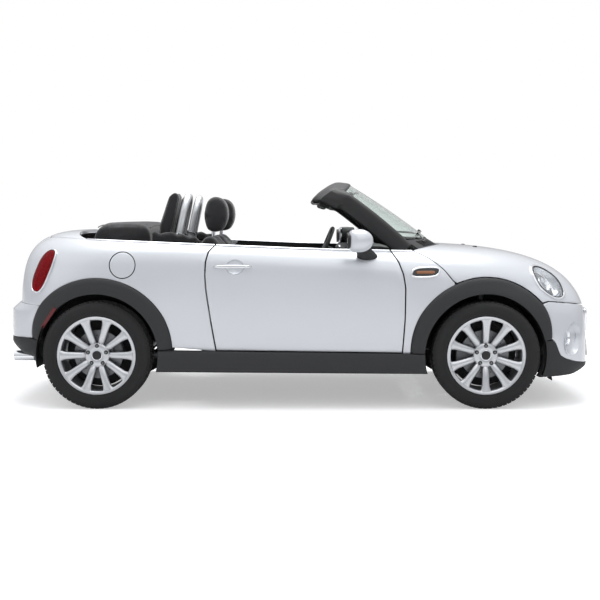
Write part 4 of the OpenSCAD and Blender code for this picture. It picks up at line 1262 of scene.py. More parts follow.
def build_sill(name, side):
    x = np.linspace(REAR_AXLE + ARCH_R - 40, FRONT_AXLE - ARCH_R + 40, 61)
    low = np.interp(x, [x[0], x[-1]], [230, 218])
    high = sill_top(x)
    rows = []
    for f, d in ((0, 62), (0, 10), (0.06, 2), (0.3, 0), (0.6, 0.5), (0.86, 3), (0.97, 8),
                 (1, 22), (1, 62)):
        rows.append(np.stack([x, side * (HALF_W + 5 - d) + 0 * x, low + (high - low) * f], -1))
    rings = np.array(rows).transpose(1, 0, 2)
    sill = keep("sill_cover_" + name, loft(rings), "trim", "root", ["sill_covers"])
    holes = [rod((a, side * (HALF_W + 30), TYRE_R), (a, side * (HALF_W - 90), TYRE_R),
                 ARCH_R, 128) for a in (REAR_AXLE, FRONT_AXLE)]
    cut(sill, holes)


# ---- Windscreen, cowl and wipers ----

# Sections of the frame's side pillars and of its header, out from the pane's edge
PILLAR_CUT = ((0, -10), (0, 4), (34, 8), (60, -6), (62, -60), (48, -108), (12, -100))
HEADER_CUT = ((0, -10), (0, 4), (19, 6), (104, -39), (162, -179), (131, -200), (12, -68))


def soft_outline(outline, cuts=3):
    """Rounds the corners of an outline by repeated corner cutting, keeping its first edge."""
    p = np.asarray(outline, float)
    for _ in range(cuts):
        nxt = np.roll(p, -1, 0)
        p = np.stack([p * 0.8 + nxt * 0.2, p * 0.2 + nxt * 0.8], 1).reshape(-1, 2)
    return p


def build_windscreen(looks):
    u = np.linspace(-GLASS_U, GLASS_U, 41)[:, None]
    v = np.linspace(0, GLASS_V, 25)[None, :]
    grid = screen(u, v)
    keep("windscreen_pane", slab(grid, grid - GLASS_T * SCREEN_N), "glass", "root", ["windscreen"])
    # Frame: a thin pillar section at the sides and a deep header across the top
    gu, gv = GLASS_U + 0.0016, GLASS_V + 0.0025
    side = np.linspace(0, GLASS_V, 24, endpoint=False)
    across = np.linspace(-GLASS_U, GLASS_U, 49)[1:-1]
    path = [(-gu, -0.12)] + [(-gu, q) for q in side] + [(-gu, gv)]
    path += [(q, gv) for q in across] + [(gu, gv)] + [(gu, q) for q in side[::-1]]
    path += [(gu, -0.12)]
    p = np.array([screen(a, b) for a, b in path])
    n = len(p) - 1
    rings = []
    low, high = soft_outline(PILLAR_CUT), soft_outline(HEADER_CUT)
    share = np.array([0.0 if b < GLASS_V else 0.5 if abs(a) > GLASS_U else 1.0
                      for a, b in path])
    soft = share.copy()
    for _ in range(3):
        soft[1:-1] = (soft[:-2] + soft[1:-1] * 2 + soft[2:]) / 4
    for i in range(n + 1):
        along = unit(p[min(n, i + 1)] - p[max(0, i - 1)])
        out = -unit(np.cross(along, SCREEN_N))
        up = np.cross(along, out)
        section = lerp(low, high, soft[i])
        rings.append(p[i] + out * section[:, :1] + up * section[:, 1:])
    hoop = keep("windscreen_hoop", loft(rings[::-1]), "black", "root", ["windscreen_frame"],
                smooth=50)
    foot = float(SHOULDER - 20)
    cut(hoop, [block(fx(-700), fx(-100), -750, 750, 700, foot)])
    shade(hoop.data, 50)
    header_fittings()
    cabin_mirror()


def header_fittings():
    """Padded lining along the header's rear edge, two roof catches and the sun visors."""
    lining = [screen(a, GLASS_V) + [-136, 0, -84] for a in np.linspace(-0.9, 0.9, 41)]
    keep("header_lining", sweep(lining, soft_box(34, 20), up=(0.3, 0, 1)), "cloth")
    catches = []
    for s in (-0.62, 0.62):
        q = screen(s, GLASS_V) + [-178, 0, -64]
        catches.append(placed(sweep([(-26, 0, 0), (-10, 0, 5), (20, 0, 5), (28, 0, -4)],
                              soft_box(15, 8), up=(0, 0, 1)), q))
    keep("roof_catches", joined(*catches), "black")
    visors = []
    for s in (-1, 1):
        mid = screen(0.48 * s, GLASS_V) + [-98, 0, -78]
        visors.append(placed(sweep([(0, -160, 0), (0, 160, 0)], soft_box(72, 9, 4),
                             up=(0.35, 0, 1)), mid))
    keep("sun_visors", joined(*visors), "cloth")


def cabin_mirror():
    mid = screen(0, 0.86) + [-62, 0, -24]
    housing = sweep([mid + [0, y, 0] for y in (-104, -100, -60, 60, 100, 104)],
                    np.array([soft_box(26, 15, 2.6) * f for f in (0.4, 0.8, 1, 1, 0.8, 0.4)]),
                    up=(1, 0, 0.3))
    stem = sweep([mid + [8, 0, 6], mid + [36, 0, 22], screen(0, 0.86) - 7 * SCREEN_N],
                 circle(7, 12))
    keep("cabin_mirror", joined(housing, stem), "black")
    face = sweep([mid + [-15, y, -2] for y in (-94, 94)], soft_box(22, 1.5, 4), up=(1, 0, 0.1))
    keep("cabin_mirror_glass", face, "mirror")


def cowl_pt(s, t):
    """A point of the cowl, s across and t of the way from the glass to the hood."""
    s = np.asarray(s, float)
    a = screen(0.93 * s, 0) - SCREEN_N * (GLASS_T + 2 * SEAT_GAP)
    b = cowl_edge(0.88 * s, SHUT_GAP + 12) - [0, 0, 9]
    return a + (b - a) * np.asarray(t, float)[..., None]


def build_cowl(looks):
    s = np.linspace(-1, 1, 61)
    rows = [cowl_pt(s, np.full(len(s), t)) for t in np.linspace(0, 1, 13)]
    grid = np.array(rows)
    keep("cowl_cover", slab(grid, grid - [0, 0, 16]), "black", "root", ["cowl_panel"])
    paths = []
    for t in np.linspace(0.3, 0.8, 6):
        for a, b in ((-0.85, -0.1), (0.1, 0.85)):
            q = np.linspace(a, b, 24)
            paths.append(cowl_pt(q, np.full(len(q), t)) + [0, 0, 1])
    bars("cowl_louvres", paths, 3.0, "rubber_and_hole_shade", "root", 6)
    arms = []
    blades = []
    for y in (-430.0, 150.0):
        foot = cowl_pt(y / 600, 0.5) + [0, 0, 8]
        t = np.linspace(0, 4, 17)
        rest = screen((y + 40 + 95 * t) / 640, 0.05 + 0.01 * t) + SCREEN_N * 15
        arm = np.concatenate([[foot + [0, 0, 10], foot + [-6, 12, 16]], rest[1:9]])
        arms.append(sweep(arm, boxes(np.linspace(9, 5, len(arm)), 3.6), up=SCREEN_N))
        arms.append(placed(dome(13, 12, 20), foot))
        blades.append(sweep(rest - SCREEN_N * 5, soft_box(3.4, 7, 2.4, 14), up=SCREEN_N))
    keep("wiper_arms", joined(*arms), "gloss", "root", ["wipers"], slot="black_matte")
    keep("wiper_blades", joined(*blades), "rubber_and_hole_shade", slot="black_matte")


# ---- Lamps and grille ----

NOSE_HUB = np.array([FRONT_AXLE - 250, 0, 350.0])
TAIL_HUB = np.array([REAR_AXLE + 250, 0, 450.0])
BUMPER_HUB = np.array([FRONT_AXLE + 60, 0, 420.0])
HEAD_AT = np.array([fx(421), -598, 776.0])
HEAD_N = unit([0.62, -0.48, 0.62])
HEAD_U = unit(np.cross([0, 0, 1], HEAD_N))
HEAD_V = np.cross(HEAD_N, HEAD_U)
TAIL_AT = np.array([REAR_AXLE - 348, -682, 850.0])
TAIL_V = unit([112, 30, 313])
TAIL_U = unit(np.array([-0.75, 0.65, 0.35]) - TAIL_V * (np.array([-0.75, 0.65, 0.35]) @ TAIL_V))


def lamp_ring(hub, at, u, v, ru, rv, d, k, power=2.0):
    """A lamp's outline on the body skin, inset by d."""
    a = turns(k)[:, None]
    c, s = (np.sign(q) * np.abs(q) ** (2 / power) for q in (np.cos(a), np.sin(a)))
    return skin(hub, at + u * ru * c + v * rv * s, d)


def head_ring(r, d, side, k=64):
    ring = lamp_ring(NOSE_HUB, HEAD_AT, HEAD_U, HEAD_V, 0.88 * r, 1.1 * r, d, k)
    return on_side(side, ring)[0]


def tail_ring(f, d, side, k=64):
    ring = lamp_ring(TAIL_HUB, TAIL_AT, TAIL_U, TAIL_V, 64 * f, 150 * f, d, k, 2.7)
    return on_side(side, ring)[0]


def beading(name, path, section, look, body="root", slot="as look"):
    """A closed moulding along a ring on the skin."""
    keep(name, sweep(path, section, up=outward(path), closed=True), look, body, slot=slot)


def head_hole(side):
    return loft([head_ring(115, d, side) for d in (-30, 70)])


def tail_hole(side):
    return loft([tail_ring(0.97, d, side) for d in (-30, 70)])


def build_headlamps(looks):
    for name, side in SIDES:
        axis = np.array([HEAD_N[0], side * abs(HEAD_N[1]), HEAD_N[2]])
        u = unit(np.cross([0, 0, 1], axis))
        v = np.cross(axis, u)
        rim = head_ring(110, 2, side)
        mid = rim.mean(0)
        # Bowl, shrinking inwards to its back
        bowl = [head_ring(118, -0.5, side), rim]
        for f, dist in ((0.97, 12), (0.9, 30), (0.78, 46), (0.6, 58), (0.4, 64), (0.02, 66)):
            bowl.append(mid + (rim - mid) * f * [1, 1, 1] - axis * dist
                        + ((rim - mid) @ axis)[:, None] * axis * (-0.6 * f))
        back = [r - axis * 3 for r in bowl[::-1]]
        keep("head_bowl_" + name, loft(bowl + back, True), "reflector", "hood", slot="lamp_clear")
        # Black mask with the main lens and the turn lamp above
        mask_at = mid - axis * 34
        oval = np.array([0.88, 1.1, 1])
        mask = lathe([(93, -3), (97, 0), (60, 12), (50, 8), (50, 2), (60, 4)], 64)
        mask = placed(scaled(mask, oval), mask_at, u, v, axis)
        keep("head_mask_" + name, mask, "rubber_and_hole_shade", "hood", slot="black_gloss")
        collar = placed(lathe([(38, -6), (50, 4), (53, 12), (49, 15), (44, 10), (36, -2)], 64),
                        mask_at, u, v, axis)
        rim_ring = lathe([(82, 6), (87, 12), (92, 6), (88, 3)], 64)
        rim_ring = placed(scaled(rim_ring, oval), mask_at, u, v, axis)
        keep("head_collar_" + name, joined(collar, rim_ring), "chrome", "hood")
        eye = placed(dome(37, 22, 48, 9), mask_at + axis * 3, u, v, axis)
        keep("head_projector_" + name, eye, "clear", "hood")
        bulbs = [ball(mask_at + axis * 6 + u * 72 * math.cos(t) + v * 72 * math.sin(t),
                      (7, 7, 7), 16) for t in np.radians([50, 90, 130])]
        keep("head_turn_bulbs_" + name, joined(*bulbs), "amber", "hood")
        # Clear cover, about 2.5 mm thick, crowned within the CAD lens
        fs = np.array([1, 0.94, 0.85, 0.72, 0.55, 0.35, 0.03])
        proud = -(0.9 + 13.5 * (1 - 0.6 * fs * fs) * np.minimum(1, (1.03 - fs) * 8))
        outer = [head_ring(112 * f, d, side) for f, d in zip(fs, proud)]
        inner = [head_ring(112 * f * 0.985, d + 2.5, side)
                 for f, d in zip(fs[::-1], proud[::-1])]
        keep("head_cover_" + name, loft(outer + inner, True), "clear", "hood", ["headlamps"])
        beading("head_ring_" + name, head_ring(123.5, -2.5, side, 96),
                soft_box(8.5, 5, 2.6, 14), "chrome", "hood")
        beading("head_gasket_" + name, head_ring(113.5, -3, side, 96),
                soft_box(2.8, 4.5, 2.2, 10), "rubber_and_hole_shade", "hood", "black_gloss")


def build_tail_lamps(looks):
    for name, side in SIDES:
        fs = np.array([1, 0.96, 0.88, 0.75, 0.55, 0.3, 0.03])
        outer = [tail_ring(0.93 * f, -(1 + 10 * (1 - 0.55 * f * f)), side) for f in fs]
        inner = [tail_ring(0.92 * f, -(1 + 10 * (1 - 0.55 * f * f)) + 3, side)
                 for f in fs[::-1]]
        keep("tail_cover_" + name, loft(outer + inner, True), "red", "root", ["tail_lamps"])
        bowl = [tail_ring(f, d, side) for f, d in
                ((0.98, -1), (0.93, 0), (0.88, 12), (0.6, 20), (0.03, 22))]
        bowl += [tail_ring(f, d + 3, side) for f, d in
                 ((0.03, 22), (0.6, 20), (0.9, 14), (0.96, 2))]
        keep("tail_bowl_" + name, loft(bowl, True), "deep_red")
        beading("tail_ring_" + name, tail_ring(0.965, -5, side, 96), soft_box(5, 7, 2.4, 14),
                "chrome")
        # Four round elements under the cover
        rings, cups = [], []
        for h in (0.6, 0.2, -0.2, -0.6):
            c = TAIL_AT + TAIL_V * 172 * h
            c = on_side(side, skin(TAIL_HUB, c))[0]
            out = outward(c)
            u = unit(np.cross([0, 0, 1], out))
            v = np.cross(out, u)
            rings.append(placed(lathe([(24, -2), (27, 3), (30, 3), (31, -2)], 40),
                                c + out * 1.5, u, v, out))
            cups.append(placed(dome(23, 5, 32), c + out * 2.0, u, v, out))
        keep("tail_element_rings_" + name, joined(*rings), "chrome")
        keep("tail_elements_" + name, joined(*cups), "deep_red")
        # Red reflector on the rear arch trim
        t = np.linspace(0, 1, 9)
        axis = side_pt(REAR_AXLE - 257.5 - 90 * t, 620 - 124 * t, side)
        axis[:, 1] += side * 20
        keep("rear_marker_" + name, sweep(axis, soft_box(11, 3), up=(0, side, 0)), "deep_red")


FOG = np.array([fx(549.5), -685, 428.0])


def fog_frame(side):
    """Where a fog lamp sits: its place and its own three directions."""
    at = on_body(FOG * [1, -side, 1] if side > 0 else FOG)
    out = unit(outward(at) + [0.55, 0, 0])
    u = unit(np.cross([0, 0, 1], out))
    return at, u, np.cross(out, u), out


def fog_scoop(side, profile=((0.2, -44), (34, -42), (52, -28), (66, 4), (76, 60),
                             (0.2, 60))):
    at, u, v, out = fog_frame(side)
    verts, faces = lathe(profile, 56)
    tall = np.where(verts[:, 1:2] > 0, 1.45, 1.75)
    verts = verts * np.concatenate([1 + 0 * tall, tall, 1 + 0 * tall], 1)
    verts[:, 0] = 1.2 * verts[:, 0] - side * (22 + 0.22 * verts[:, 1])
    return placed((verts, faces), at, u, v, out)


# How an opening in the nose widens downwards, its top edge and its height
GRILLE = (-30, 572, 132)
INTAKE = (60, 388, 96)


def nose_row(s, t, half, widen, top, drop):
    """The line across the nose that lies t of the way down an opening."""
    return nose_pt(s * (half + widen * t), top - drop * t + RAKE * NOSE_TIP)


def build_front_details(looks):
    for name, side in SIDES:
        at, u, v, out = fog_frame(side)
        liner = fog_scoop(side, ((36, -47), (54, -30), (60, -16), (64, -16), (58, -34),
                                 (36, -52)))
        keep("fog_recess_" + name, liner, "paint")
        rim = lathe([(38, -44), (51, -44), (51, -30), (47, -26), (41, -34)], 48)
        cup = lathe([(0.5, -60), (52, -60), (52, -43), (40, -43), (30, -54), (0.5, -56)], 48)
        for part, shape, look, back in (("rim_", rim, "chrome", 0), ("cup_", cup, "reflector", 0),
                                        ("lens_", dome(40, 9, 40), "clear", 42)):
            keep("fog_" + part + name,
                 placed(scaled(shape, [0.86, 1, 1]), at - out * back, u, v, out), look)
    # Upper grille: dark back, chrome frame and bright slats
    s = np.linspace(-1, 1, 49)
    grid = np.array([nose_row(s, t, 360, *GRILLE) for t in np.linspace(0, 1, 9)])
    keep("grille_back", slab(skin(BUMPER_HUB, grid, -6.0), skin(BUMPER_HUB, grid, -LENS_GAP)),
         "gloss", "root", ["radiator_grille"])
    edge = np.concatenate([grid[0], grid[1:, -1], grid[-1, -2::-1], grid[-2:0:-1, 0]])
    for _ in range(2):
        edge = (np.roll(edge, 1, 0) + edge * 2 + np.roll(edge, -1, 0)) / 4
    frame_path = skin(BUMPER_HUB, edge, -13.0)
    keep("grille_frame", sweep(frame_path, soft_box(9, 9), up=(1, 0, 0), closed=True), "chrome")
    paths = [skin(BUMPER_HUB, nose_row(s, t, 352, *GRILLE), -11.0)
             for t in (0.17, 0.34, 0.51, 0.68, 0.85)]
    bars("grille_slats", paths, 5.5, "chrome", "root", 10)
    # Lower intake with its mesh, let into the dark valance
    low = np.array([nose_row(s, t, 430, *INTAKE) for t in np.linspace(0, 1, 7)])
    keep("intake_back", slab(skin(BUMPER_HUB, low, -3.0), skin(BUMPER_HUB, low, -LENS_GAP)),
         "rubber_and_hole_shade", slot="black_matte")
    lines = [nose_row(s, t, 424, *INTAKE) for t in np.linspace(0.08, 0.92, 7)]
    lines += [nose_row(a, np.linspace(0, 1, 9), 424, *INTAKE) for a in np.linspace(-1, 1, 33)]
    paths = [skin(BUMPER_HUB, line, -3.8) for line in lines]
    bars("intake_mesh", paths, 2.0, "black", "root", 6)


# ---- Bright strips, handles and side vents ----


def build_brightwork(looks):
    for name, side in SIDES:
        rear_shut = float(door_rear_x(shoulder_z(-540)))
        front_shut = float(door_front_x(shoulder_z(540)))
        for part, body, x0, x1, count in (
                ("rear_", "root", REAR_AXLE - 81.5, rear_shut - SHUT_GAP - 3, 60),
                ("door_", "door_" + name, rear_shut + 2, front_shut - 2, 60),
                ("front_", "root", front_shut + SHUT_GAP + 2, COWL_SIDE - SHUT_GAP - 4, 20)):
            x = np.linspace(x0, x1, count)
            path = side_pt(x, shoulder_z(x) - 3, side)
            ups = outward(path)
            keep("belt_strip_" + part + name,
                 sweep(path + ups * 2, soft_box(7, 4, 2.6, 16), up=ups), "chrome", body)
        # Door pull: a bar that bridges a round cup
        t = np.linspace(0, 1, 25)
        x = HANDLE[0] - 131.5 + 233 * t
        base = side_pt(x, np.full(25, HANDLE[1]), side)
        off = 27 * np.minimum(1, np.sin(np.pi * t) * 2.6) ** 0.6
        path = base + outward(base) * (off - 3)[:, None]
        width = 6.5 + 3.5 * np.sin(np.pi * t)
        shape = sweep(path, boxes(width, 4.6, 2.6, 18), up=outward(base))
        keep("door_pull_" + name, shape, "chrome", "door_" + name)
        build_vent(name, side)


VENT = (fx(-375.5), 841.0)


def vent_ring(side, shrink, k=72):
    """Outline of the side vent: a leaning rounded shape, longer at the top."""
    p = soft_box(84 - shrink, 29 - shrink, 3.0, k)
    x = VENT[0] + p[:, 0] + p[:, 1] * 0.35
    z = VENT[1] + p[:, 1] + p[:, 0] * 0.02
    return side_pt(x, z, side)


def build_vent(name, side):
    rim = vent_ring(side, 0)
    up = outward(rim)
    keep("vent_rim_" + name, sweep(rim + up * 2.5, soft_box(5, 4.5, 2.4, 12), up=up, closed=True),
         "chrome")
    rings = []
    for shrink, push in ((3, 2.2), (8, 1.6), (14, 1.2), (22, 1.0), (28.4, 1.0)):
        ring = vent_ring(side, shrink)
        rings.append(ring + outward(ring) * push)
    base = [r - outward(r) for r in rings[::-1]]
    keep("vent_insert_" + name, loft(np.array(rings + base)), "gloss")
    t = np.linspace(0, 1, 21)
    mid = side_pt(VENT[0] - 56 + 112 * t, VENT[1], side)
    width = 9 * np.minimum(1, np.minimum(t, 1 - t) * 7 + 0.3) ** 0.5
    shape = sweep(mid + outward(mid) * 3.2, boxes(width, 2.6, 2.6), up=outward(mid))
    keep("vent_marker_" + name, shape, "amber")


# ---- Wheels ----


def at_wheel(shape, way, side):
    """A shape about the wheel's own axis (+Z outwards), put at its wheel."""
    verts, faces = shape
    v = np.asarray(verts, float)
    world = np.stack([v[:, 0], side * v[:, 2], v[:, 1]], -1)
    return world + [axle_x(way), side * HALF_TRACK, TYRE_R], faces


def spoke():
    """One cast spoke: narrow at the hub, flaring where it joins the rim."""
    r = np.array([62, 76, 92, 125, 160, 190, 208, 218, 222.0])
    top = np.array([62, 74, 83, 90, 95, 98, 99.5, 100, 100.0])
    deep = np.array([22, 30, 35, 36, 36, 35, 33, 32, 32.0])
    half = np.array([13, 18, 20.5, 22, 23.5, 25.5, 30, 37, 45.0])
    rings = []
    for k in range(len(r)):
        s = soft_box(half[k], deep[k] / 2, 2.1, 20)
        rings.append(np.stack([s[:, 0], np.full(20, r[k]), top[k] - deep[k] / 2 + s[:, 1]], -1))
    return loft(np.array(rings)[:, ::-1])


def build_wheels(looks):
    w = TYRE_W / 2
    rim = [(BARREL_R - 9, -w + 6), (BARREL_R, -w + 12), (BARREL_R, w - 12), (RIM_R - 6, w - 10),
           (RIM_R, w - 7), (RIM_R + 0.5, w - 4), (RIM_R - 2, w - 2), (RIM_R - 6, w - 2.5),
           (BARREL_R - 2, w - 5), (BARREL_R - 6, w - 10), (BARREL_R - 9, w - 22)]
    hub = [(1, 34), (70, 34), (76, 44), (77, 60), (72, 68), (62, 71), (50, 70.5), (37, 72),
           (34, 70), (1, 70)]
    cap = [(1, 66), (27, 66), (28, 74), (26, 77.5), (18, 79.5), (1, 80)]
    cap_ring = [(28, 70), (32, 70), (31.5, 76), (28, 77)]
    disc = [(62, -6), (DISC_R, -6), (DISC_R, 16), (78, 16), (76, 32), (62, 32)]
    # Thin black dots for the disc's drilled holes: painted shade, with no holes cut
    slots = tower([(3.4, 15.2), (3.4, 16.4)], 10)
    crown = [(BARREL_R, w - 12), (RIM_R + 2, w - 7), (RIM_R + 12, w - 3),
             (RIM_R + 30, w - 0.5), (RIM_R + 50, w), (TYRE_R - 26, w - 3),
             (TYRE_R - 15, w - 8), (TYRE_R - 9, w - 14), (TYRE_R - 7, w - 26),
             (TYRE_R - 6.5, w - 60)]
    lining = [(BARREL_R - 1, w - 30), (RIM_R + 20, w - 14), (TYRE_R - 30, w - 18),
              (TYRE_R - 15, w - 34)]
    base = ([(r, -z) for r, z in crown] + crown[::-1] + lining
            + [(r, -z) for r, z in lining[::-1]])
    beads = [lathe([(r - 0.9, z - 0.6), (r + 0.9, z - 0.6), (r + 0.9, z + 0.9),
                    (r - 0.9, z + 0.9)], 96)
             for r, z in ((RIM_R + 22, w - 1.6), (RIM_R + 34, w - 0.5), (TYRE_R - 34, w - 2.2))]
    for way, end in ENDS:
        phase = 0.0 if way > 0 else 180 / looks.spokes
        spokes = ring_of(spoke(), looks.spokes, 0.0, phase, MATS["alloy"])
        bolt = tower([(7.5, 62), (7.5, 78), (6, 79.5)], 6)
        bolts = ring_of(bolt, looks.bolts, 58.0, 90, MATS["steel"])
        # Black discs round the bolts: painted shade of the recesses that the bolts sit in, laid on
        # the hub face
        pocket = tower([(12.5, 60), (12.5, 72.6), (11.5, 73)], 24)
        pockets = ring_of(pocket, looks.bolts, 58.0, 90, MATS["rubber_and_hole_shade"])
        # The drilled holes as painted shade, in a ring round the disc
        drilled = ring_of(slots, 24, 118.0, 4, MATS["rubber_and_hole_shade"])
        rows = []
        for z, width, turn in ((-72, 34, 0), (-25, 44, 2.4), (25, 44, 0), (72, 34, 2.4)):
            long = 2 * math.pi * TYRE_R / looks.tread_blocks * 0.84
            low, high = TYRE_R - 12, TYRE_R - 1.4 * (abs(z) > 50)
            item = tread_block(long, width, low, high, z)
            rows.append(ring_of(item, looks.tread_blocks, 0.0, turn, MATS["tyre"]))
        for name, side in SIDES:
            tag = end + "_" + name
            for part, shape, look, nodes, smooth in (
                    ("rim_", joined(lathe(rim, 144), spokes, lathe(hub, 72)), "alloy",
                     ["wheel_" + tag], 42),
                    ("wheel_cap_", lathe(cap, 48), "black", (), SMOOTH),
                    ("wheel_bolts_", bolts, "steel", (), SMOOTH),
                    ("bolt_pocket_shade_", pockets, "rubber_and_hole_shade", (), SMOOTH),
                    ("cap_ring_", lathe(cap_ring, 48), "chrome", (), SMOOTH),
                    ("brake_disc_", lathe(disc, 96), "steel", (), SMOOTH),
                    ("disc_hole_shade_", drilled, "rubber_and_hole_shade", (), SMOOTH),
                    ("tyre_case_", joined(lathe(base, 160), *beads), "tyre",
                     ["tyre_" + tag], 30),
                    ("tread_", joined(*rows), "tyre", (), 30)):
                keep(part + tag, at_wheel(shape, way, side), look, "wheel_" + tag, nodes,
                     smooth=smooth)
            build_caliper(way, side, name)


def tread_block(long, width, low, high, z):
    """One tread block at angle 0, about the wheel's axis."""
    a = np.linspace(-long / 2, long / 2, 4) / TYRE_R
    half = width / 2
    section = ((low, z - half), (high - 2, z - half), (high, z - half + 3),
               (high, z + half - 3), (high - 2, z + half), (low, z + half))
    return loft([[(r * math.cos(t), r * math.sin(t), h) for r, h in section] for t in a])


def build_caliper(way, side, name):
    """The brake caliper, on the rear side of a front disc and the front of a rear one."""
    turn = math.pi if way > 0 else 0.35
    a = np.linspace(-0.42, 0.42, 13) + turn
    rings = []
    for t in a:
        c = np.array([math.cos(t), math.sin(t)])
        s = soft_box(33, 31, 4, 20)
        f = 1 - 0.25 * abs((t - turn) / 0.42) ** 4
        rings.append(np.stack([c[0] * (128 + s[:, 0] * f), c[1] * (128 + s[:, 0] * f),
                               6 + s[:, 1] * f], -1))
    body = "knuckle_" + name if way > 0 else "root"
    tag = dict(ENDS)[way] + "_" + name
    shield = lathe([(50, -66), (203, -66), (206, -60), (206, -52), (203, -52), (200, -62),
                    (50, -62)], 72)
    keep("dust_shield_" + tag, at_wheel(shield, way, side), "under", body)
    keep("caliper_" + tag, at_wheel(loft(rings), way, side), "cast", body)


# ---- Mirrors ----


def build_mirrors(looks):
    for name, side in SIDES:
        flip = np.array([1, -side, 1])
        head = np.array([fx(-787), -HALF_W - 92, 1036.0])
        rings = []
        for t in np.linspace(0, 1, 33):
            f = math.sqrt(max(0.004, 1 - abs(2 * t - 1) ** 3.2))
            a = turns(40)
            c, s = np.cos(a), np.sin(a)
            px = np.where(c > 0, 84 * f * c, 68 * f * np.sign(c) * np.abs(c) ** 0.4)
            rings.append(np.stack([head[0] + px, head[1] + 95 - 187 * t + 0 * a,
                                   head[2] + 70 * f * s], -1))
        keep("mirror_cap_" + name, loft(np.array(rings) * flip), "paint", "door_" + name,
             ["mirror_" + name], slot="mirror_white", smooth=60)
        # Silvered glass in a black surround on the rear face
        ring = soft_box(74, 50, 2.8, 48)
        back = head + [-68, 1.5, 0]

        def face(f, dx):
            return np.stack([np.full(48, back[0] + dx), back[1] + ring[:, 0] * f,
                             back[2] + ring[:, 1] * f], -1)

        surround = loft(np.array([face(0.98, 14), face(1.0, 0), face(0.97, -4), face(0.9, -4),
                                  face(0.88, 3)]) * flip)
        keep("mirror_surround_" + name, surround, "black", "door_" + name)
        glass = loft(np.array([face(0.9, -1.5), face(0.9, 1.5)]) * flip)
        keep("mirror_glass_" + name, glass, "mirror", "door_" + name)
        root = np.array([fx(-731), -HALF_W + 36, 940.0])
        tip = np.array([fx(-760), -HALF_W - 40, 985.0])
        a = turns(28)

        def oval(c, w, h):
            return c + np.stack([w * np.cos(a), 0 * a, h * np.sin(a)], -1)

        def seated(f):
            o = oval(root, 64 * f, 26 * f)
            return side_pt(o[:, 0], o[:, 2]) - [0, 0.6, 0]

        foot = [seated(f) for f in (0.05, 0.6, 1)]
        for t in (0.25, 0.45, 0.65, 0.85, 1):
            foot.append(lerp(oval(lerp(root, tip, t), 60 - 16 * t, 27 - 5 * t), seated(1),
                             max(0, 0.5 - t)))
        keep("mirror_foot_" + name, loft(np.array(foot) * flip), "black", "door_" + name,
             smooth=60)


# ---- Cabin ----


# The rear headrests and the roll hoops behind them
HOOP_Y = 370.0


def cabin(x):
    return FRONT_AXLE - 1141 + x


def aft(x):
    return REAR_AXLE + 1246 + x


def build_dashboard(looks):
    back = fx(-450) - 40 - SEAT_GAP
    outline = [(back, 560), (back, 950), (fx(-560), 985), (fx(-640), 997), (fx(-720), 1000),
               (fx(-850), 1000), (fx(-885), 960), (fx(-870), 860), (fx(-800), 740),
               (fx(-640), 640)]
    body = keep("dashboard_body", extruded(outline, -590, 590), "black", "root", ["dashboard"])
    round_edges(body, 14, 4, 25)
    # Painted facing across the dash
    face = np.array([(fx(-884), 955), (fx(-888), 950), (fx(-873), 868), (fx(-868), 872)])
    facing = keep("dash_facing", extruded(face, -560, 140), "paint", slot=None)
    round_edges(facing, 2, 2, 25)
    # Each round part is turned about the car's X, level or leaning with the dash
    level = ((0, 1, 0), (0, 0, 1), (1, 0, 0))
    leaning = ((0, 1, 0), (0.12, 0, 1), (1, 0, -0.12))
    clock_at, dial_at = (fx(-848), SEAT_Y, 1045), (fx(-886), 0, 905)
    pod = placed(lathe([(1, 0), (56, 0), (60, 4), (61, 20), (61, 88), (54, 94), (1, 94)], 64),
                 clock_at, *level)
    rims = [placed(lathe([(54, -5), (60, -3), (60, 3), (54, 1)], 64), clock_at, *level),
            placed(lathe([(78, -4), (86, -2), (86, 10), (78, 8)], 64), dial_at, *leaning)]
    dials = [placed(lathe([(1, -1.5), (54, -1.5), (54, 0.5), (1, 0.5)], 64), clock_at, *level),
             placed(lathe([(1, -1), (78, -1), (78, 8), (1, 8)], 64), dial_at, *leaning)]
    slats = []
    for y in (-500, -170, 190, 520):
        rims.append(placed(lathe([(32, -4), (38, -2), (38, 12), (32, 10)], 40),
                           (fx(-884), y, 925), *leaning))
        for h in (-18, -6, 6, 18):
            reach_y = math.sqrt(31**2 - h * h)
            slats.append([(fx(-884), y - reach_y, 925 + h), (fx(-884), y + reach_y, 925 + h)])
    keep("instrument_pod", pod, "black")
    keep("dash_rims", joined(*rims), "chrome")
    keep("dash_dials", joined(*dials), "dial")
    bars("dash_vent_slats", slats, 1.8, "black", "root", 6)
    column = rod(steer_at((0, 0, -200)), steer_at((0, 0, -61)), 37)
    piece = keep("column_shroud", column, "black")
    round_edges(piece, 8, 3)
    gear_lever()


def gear_lever():
    """Gaiter and knob on the console."""
    boot = lathe([(0.5, 0), (44, 0), (30, 30), (16, 62), (9, 80), (0.5, 80)], 40)
    keep("lever_gaiter", placed(boot, (fx(-820), 0, 545)), "leather")
    knob = joined(rod((fx(-820), 0, 620), (fx(-822), 0, 668), 6, 16),
                  ball((fx(-822), 0, 688), (23, 23, 26)))
    keep("lever_knob", knob, "alloy")


# The steering wheel's centre, how far its axis leans, and its rim's middle radius
STEER = np.array([fx(-971), SEAT_Y, 938.0])
STEER_LEAN = math.radians(68)
GRIP_R = 169


def steer_at(p):
    c, s = math.cos(STEER_LEAN), math.sin(STEER_LEAN)
    x, y, z = p
    return STEER + [c * x - s * z, y, s * x + c * z]


def on_steering(shape):
    verts, faces = shape
    return np.array([steer_at(v) for v in np.asarray(verts, float)]), faces


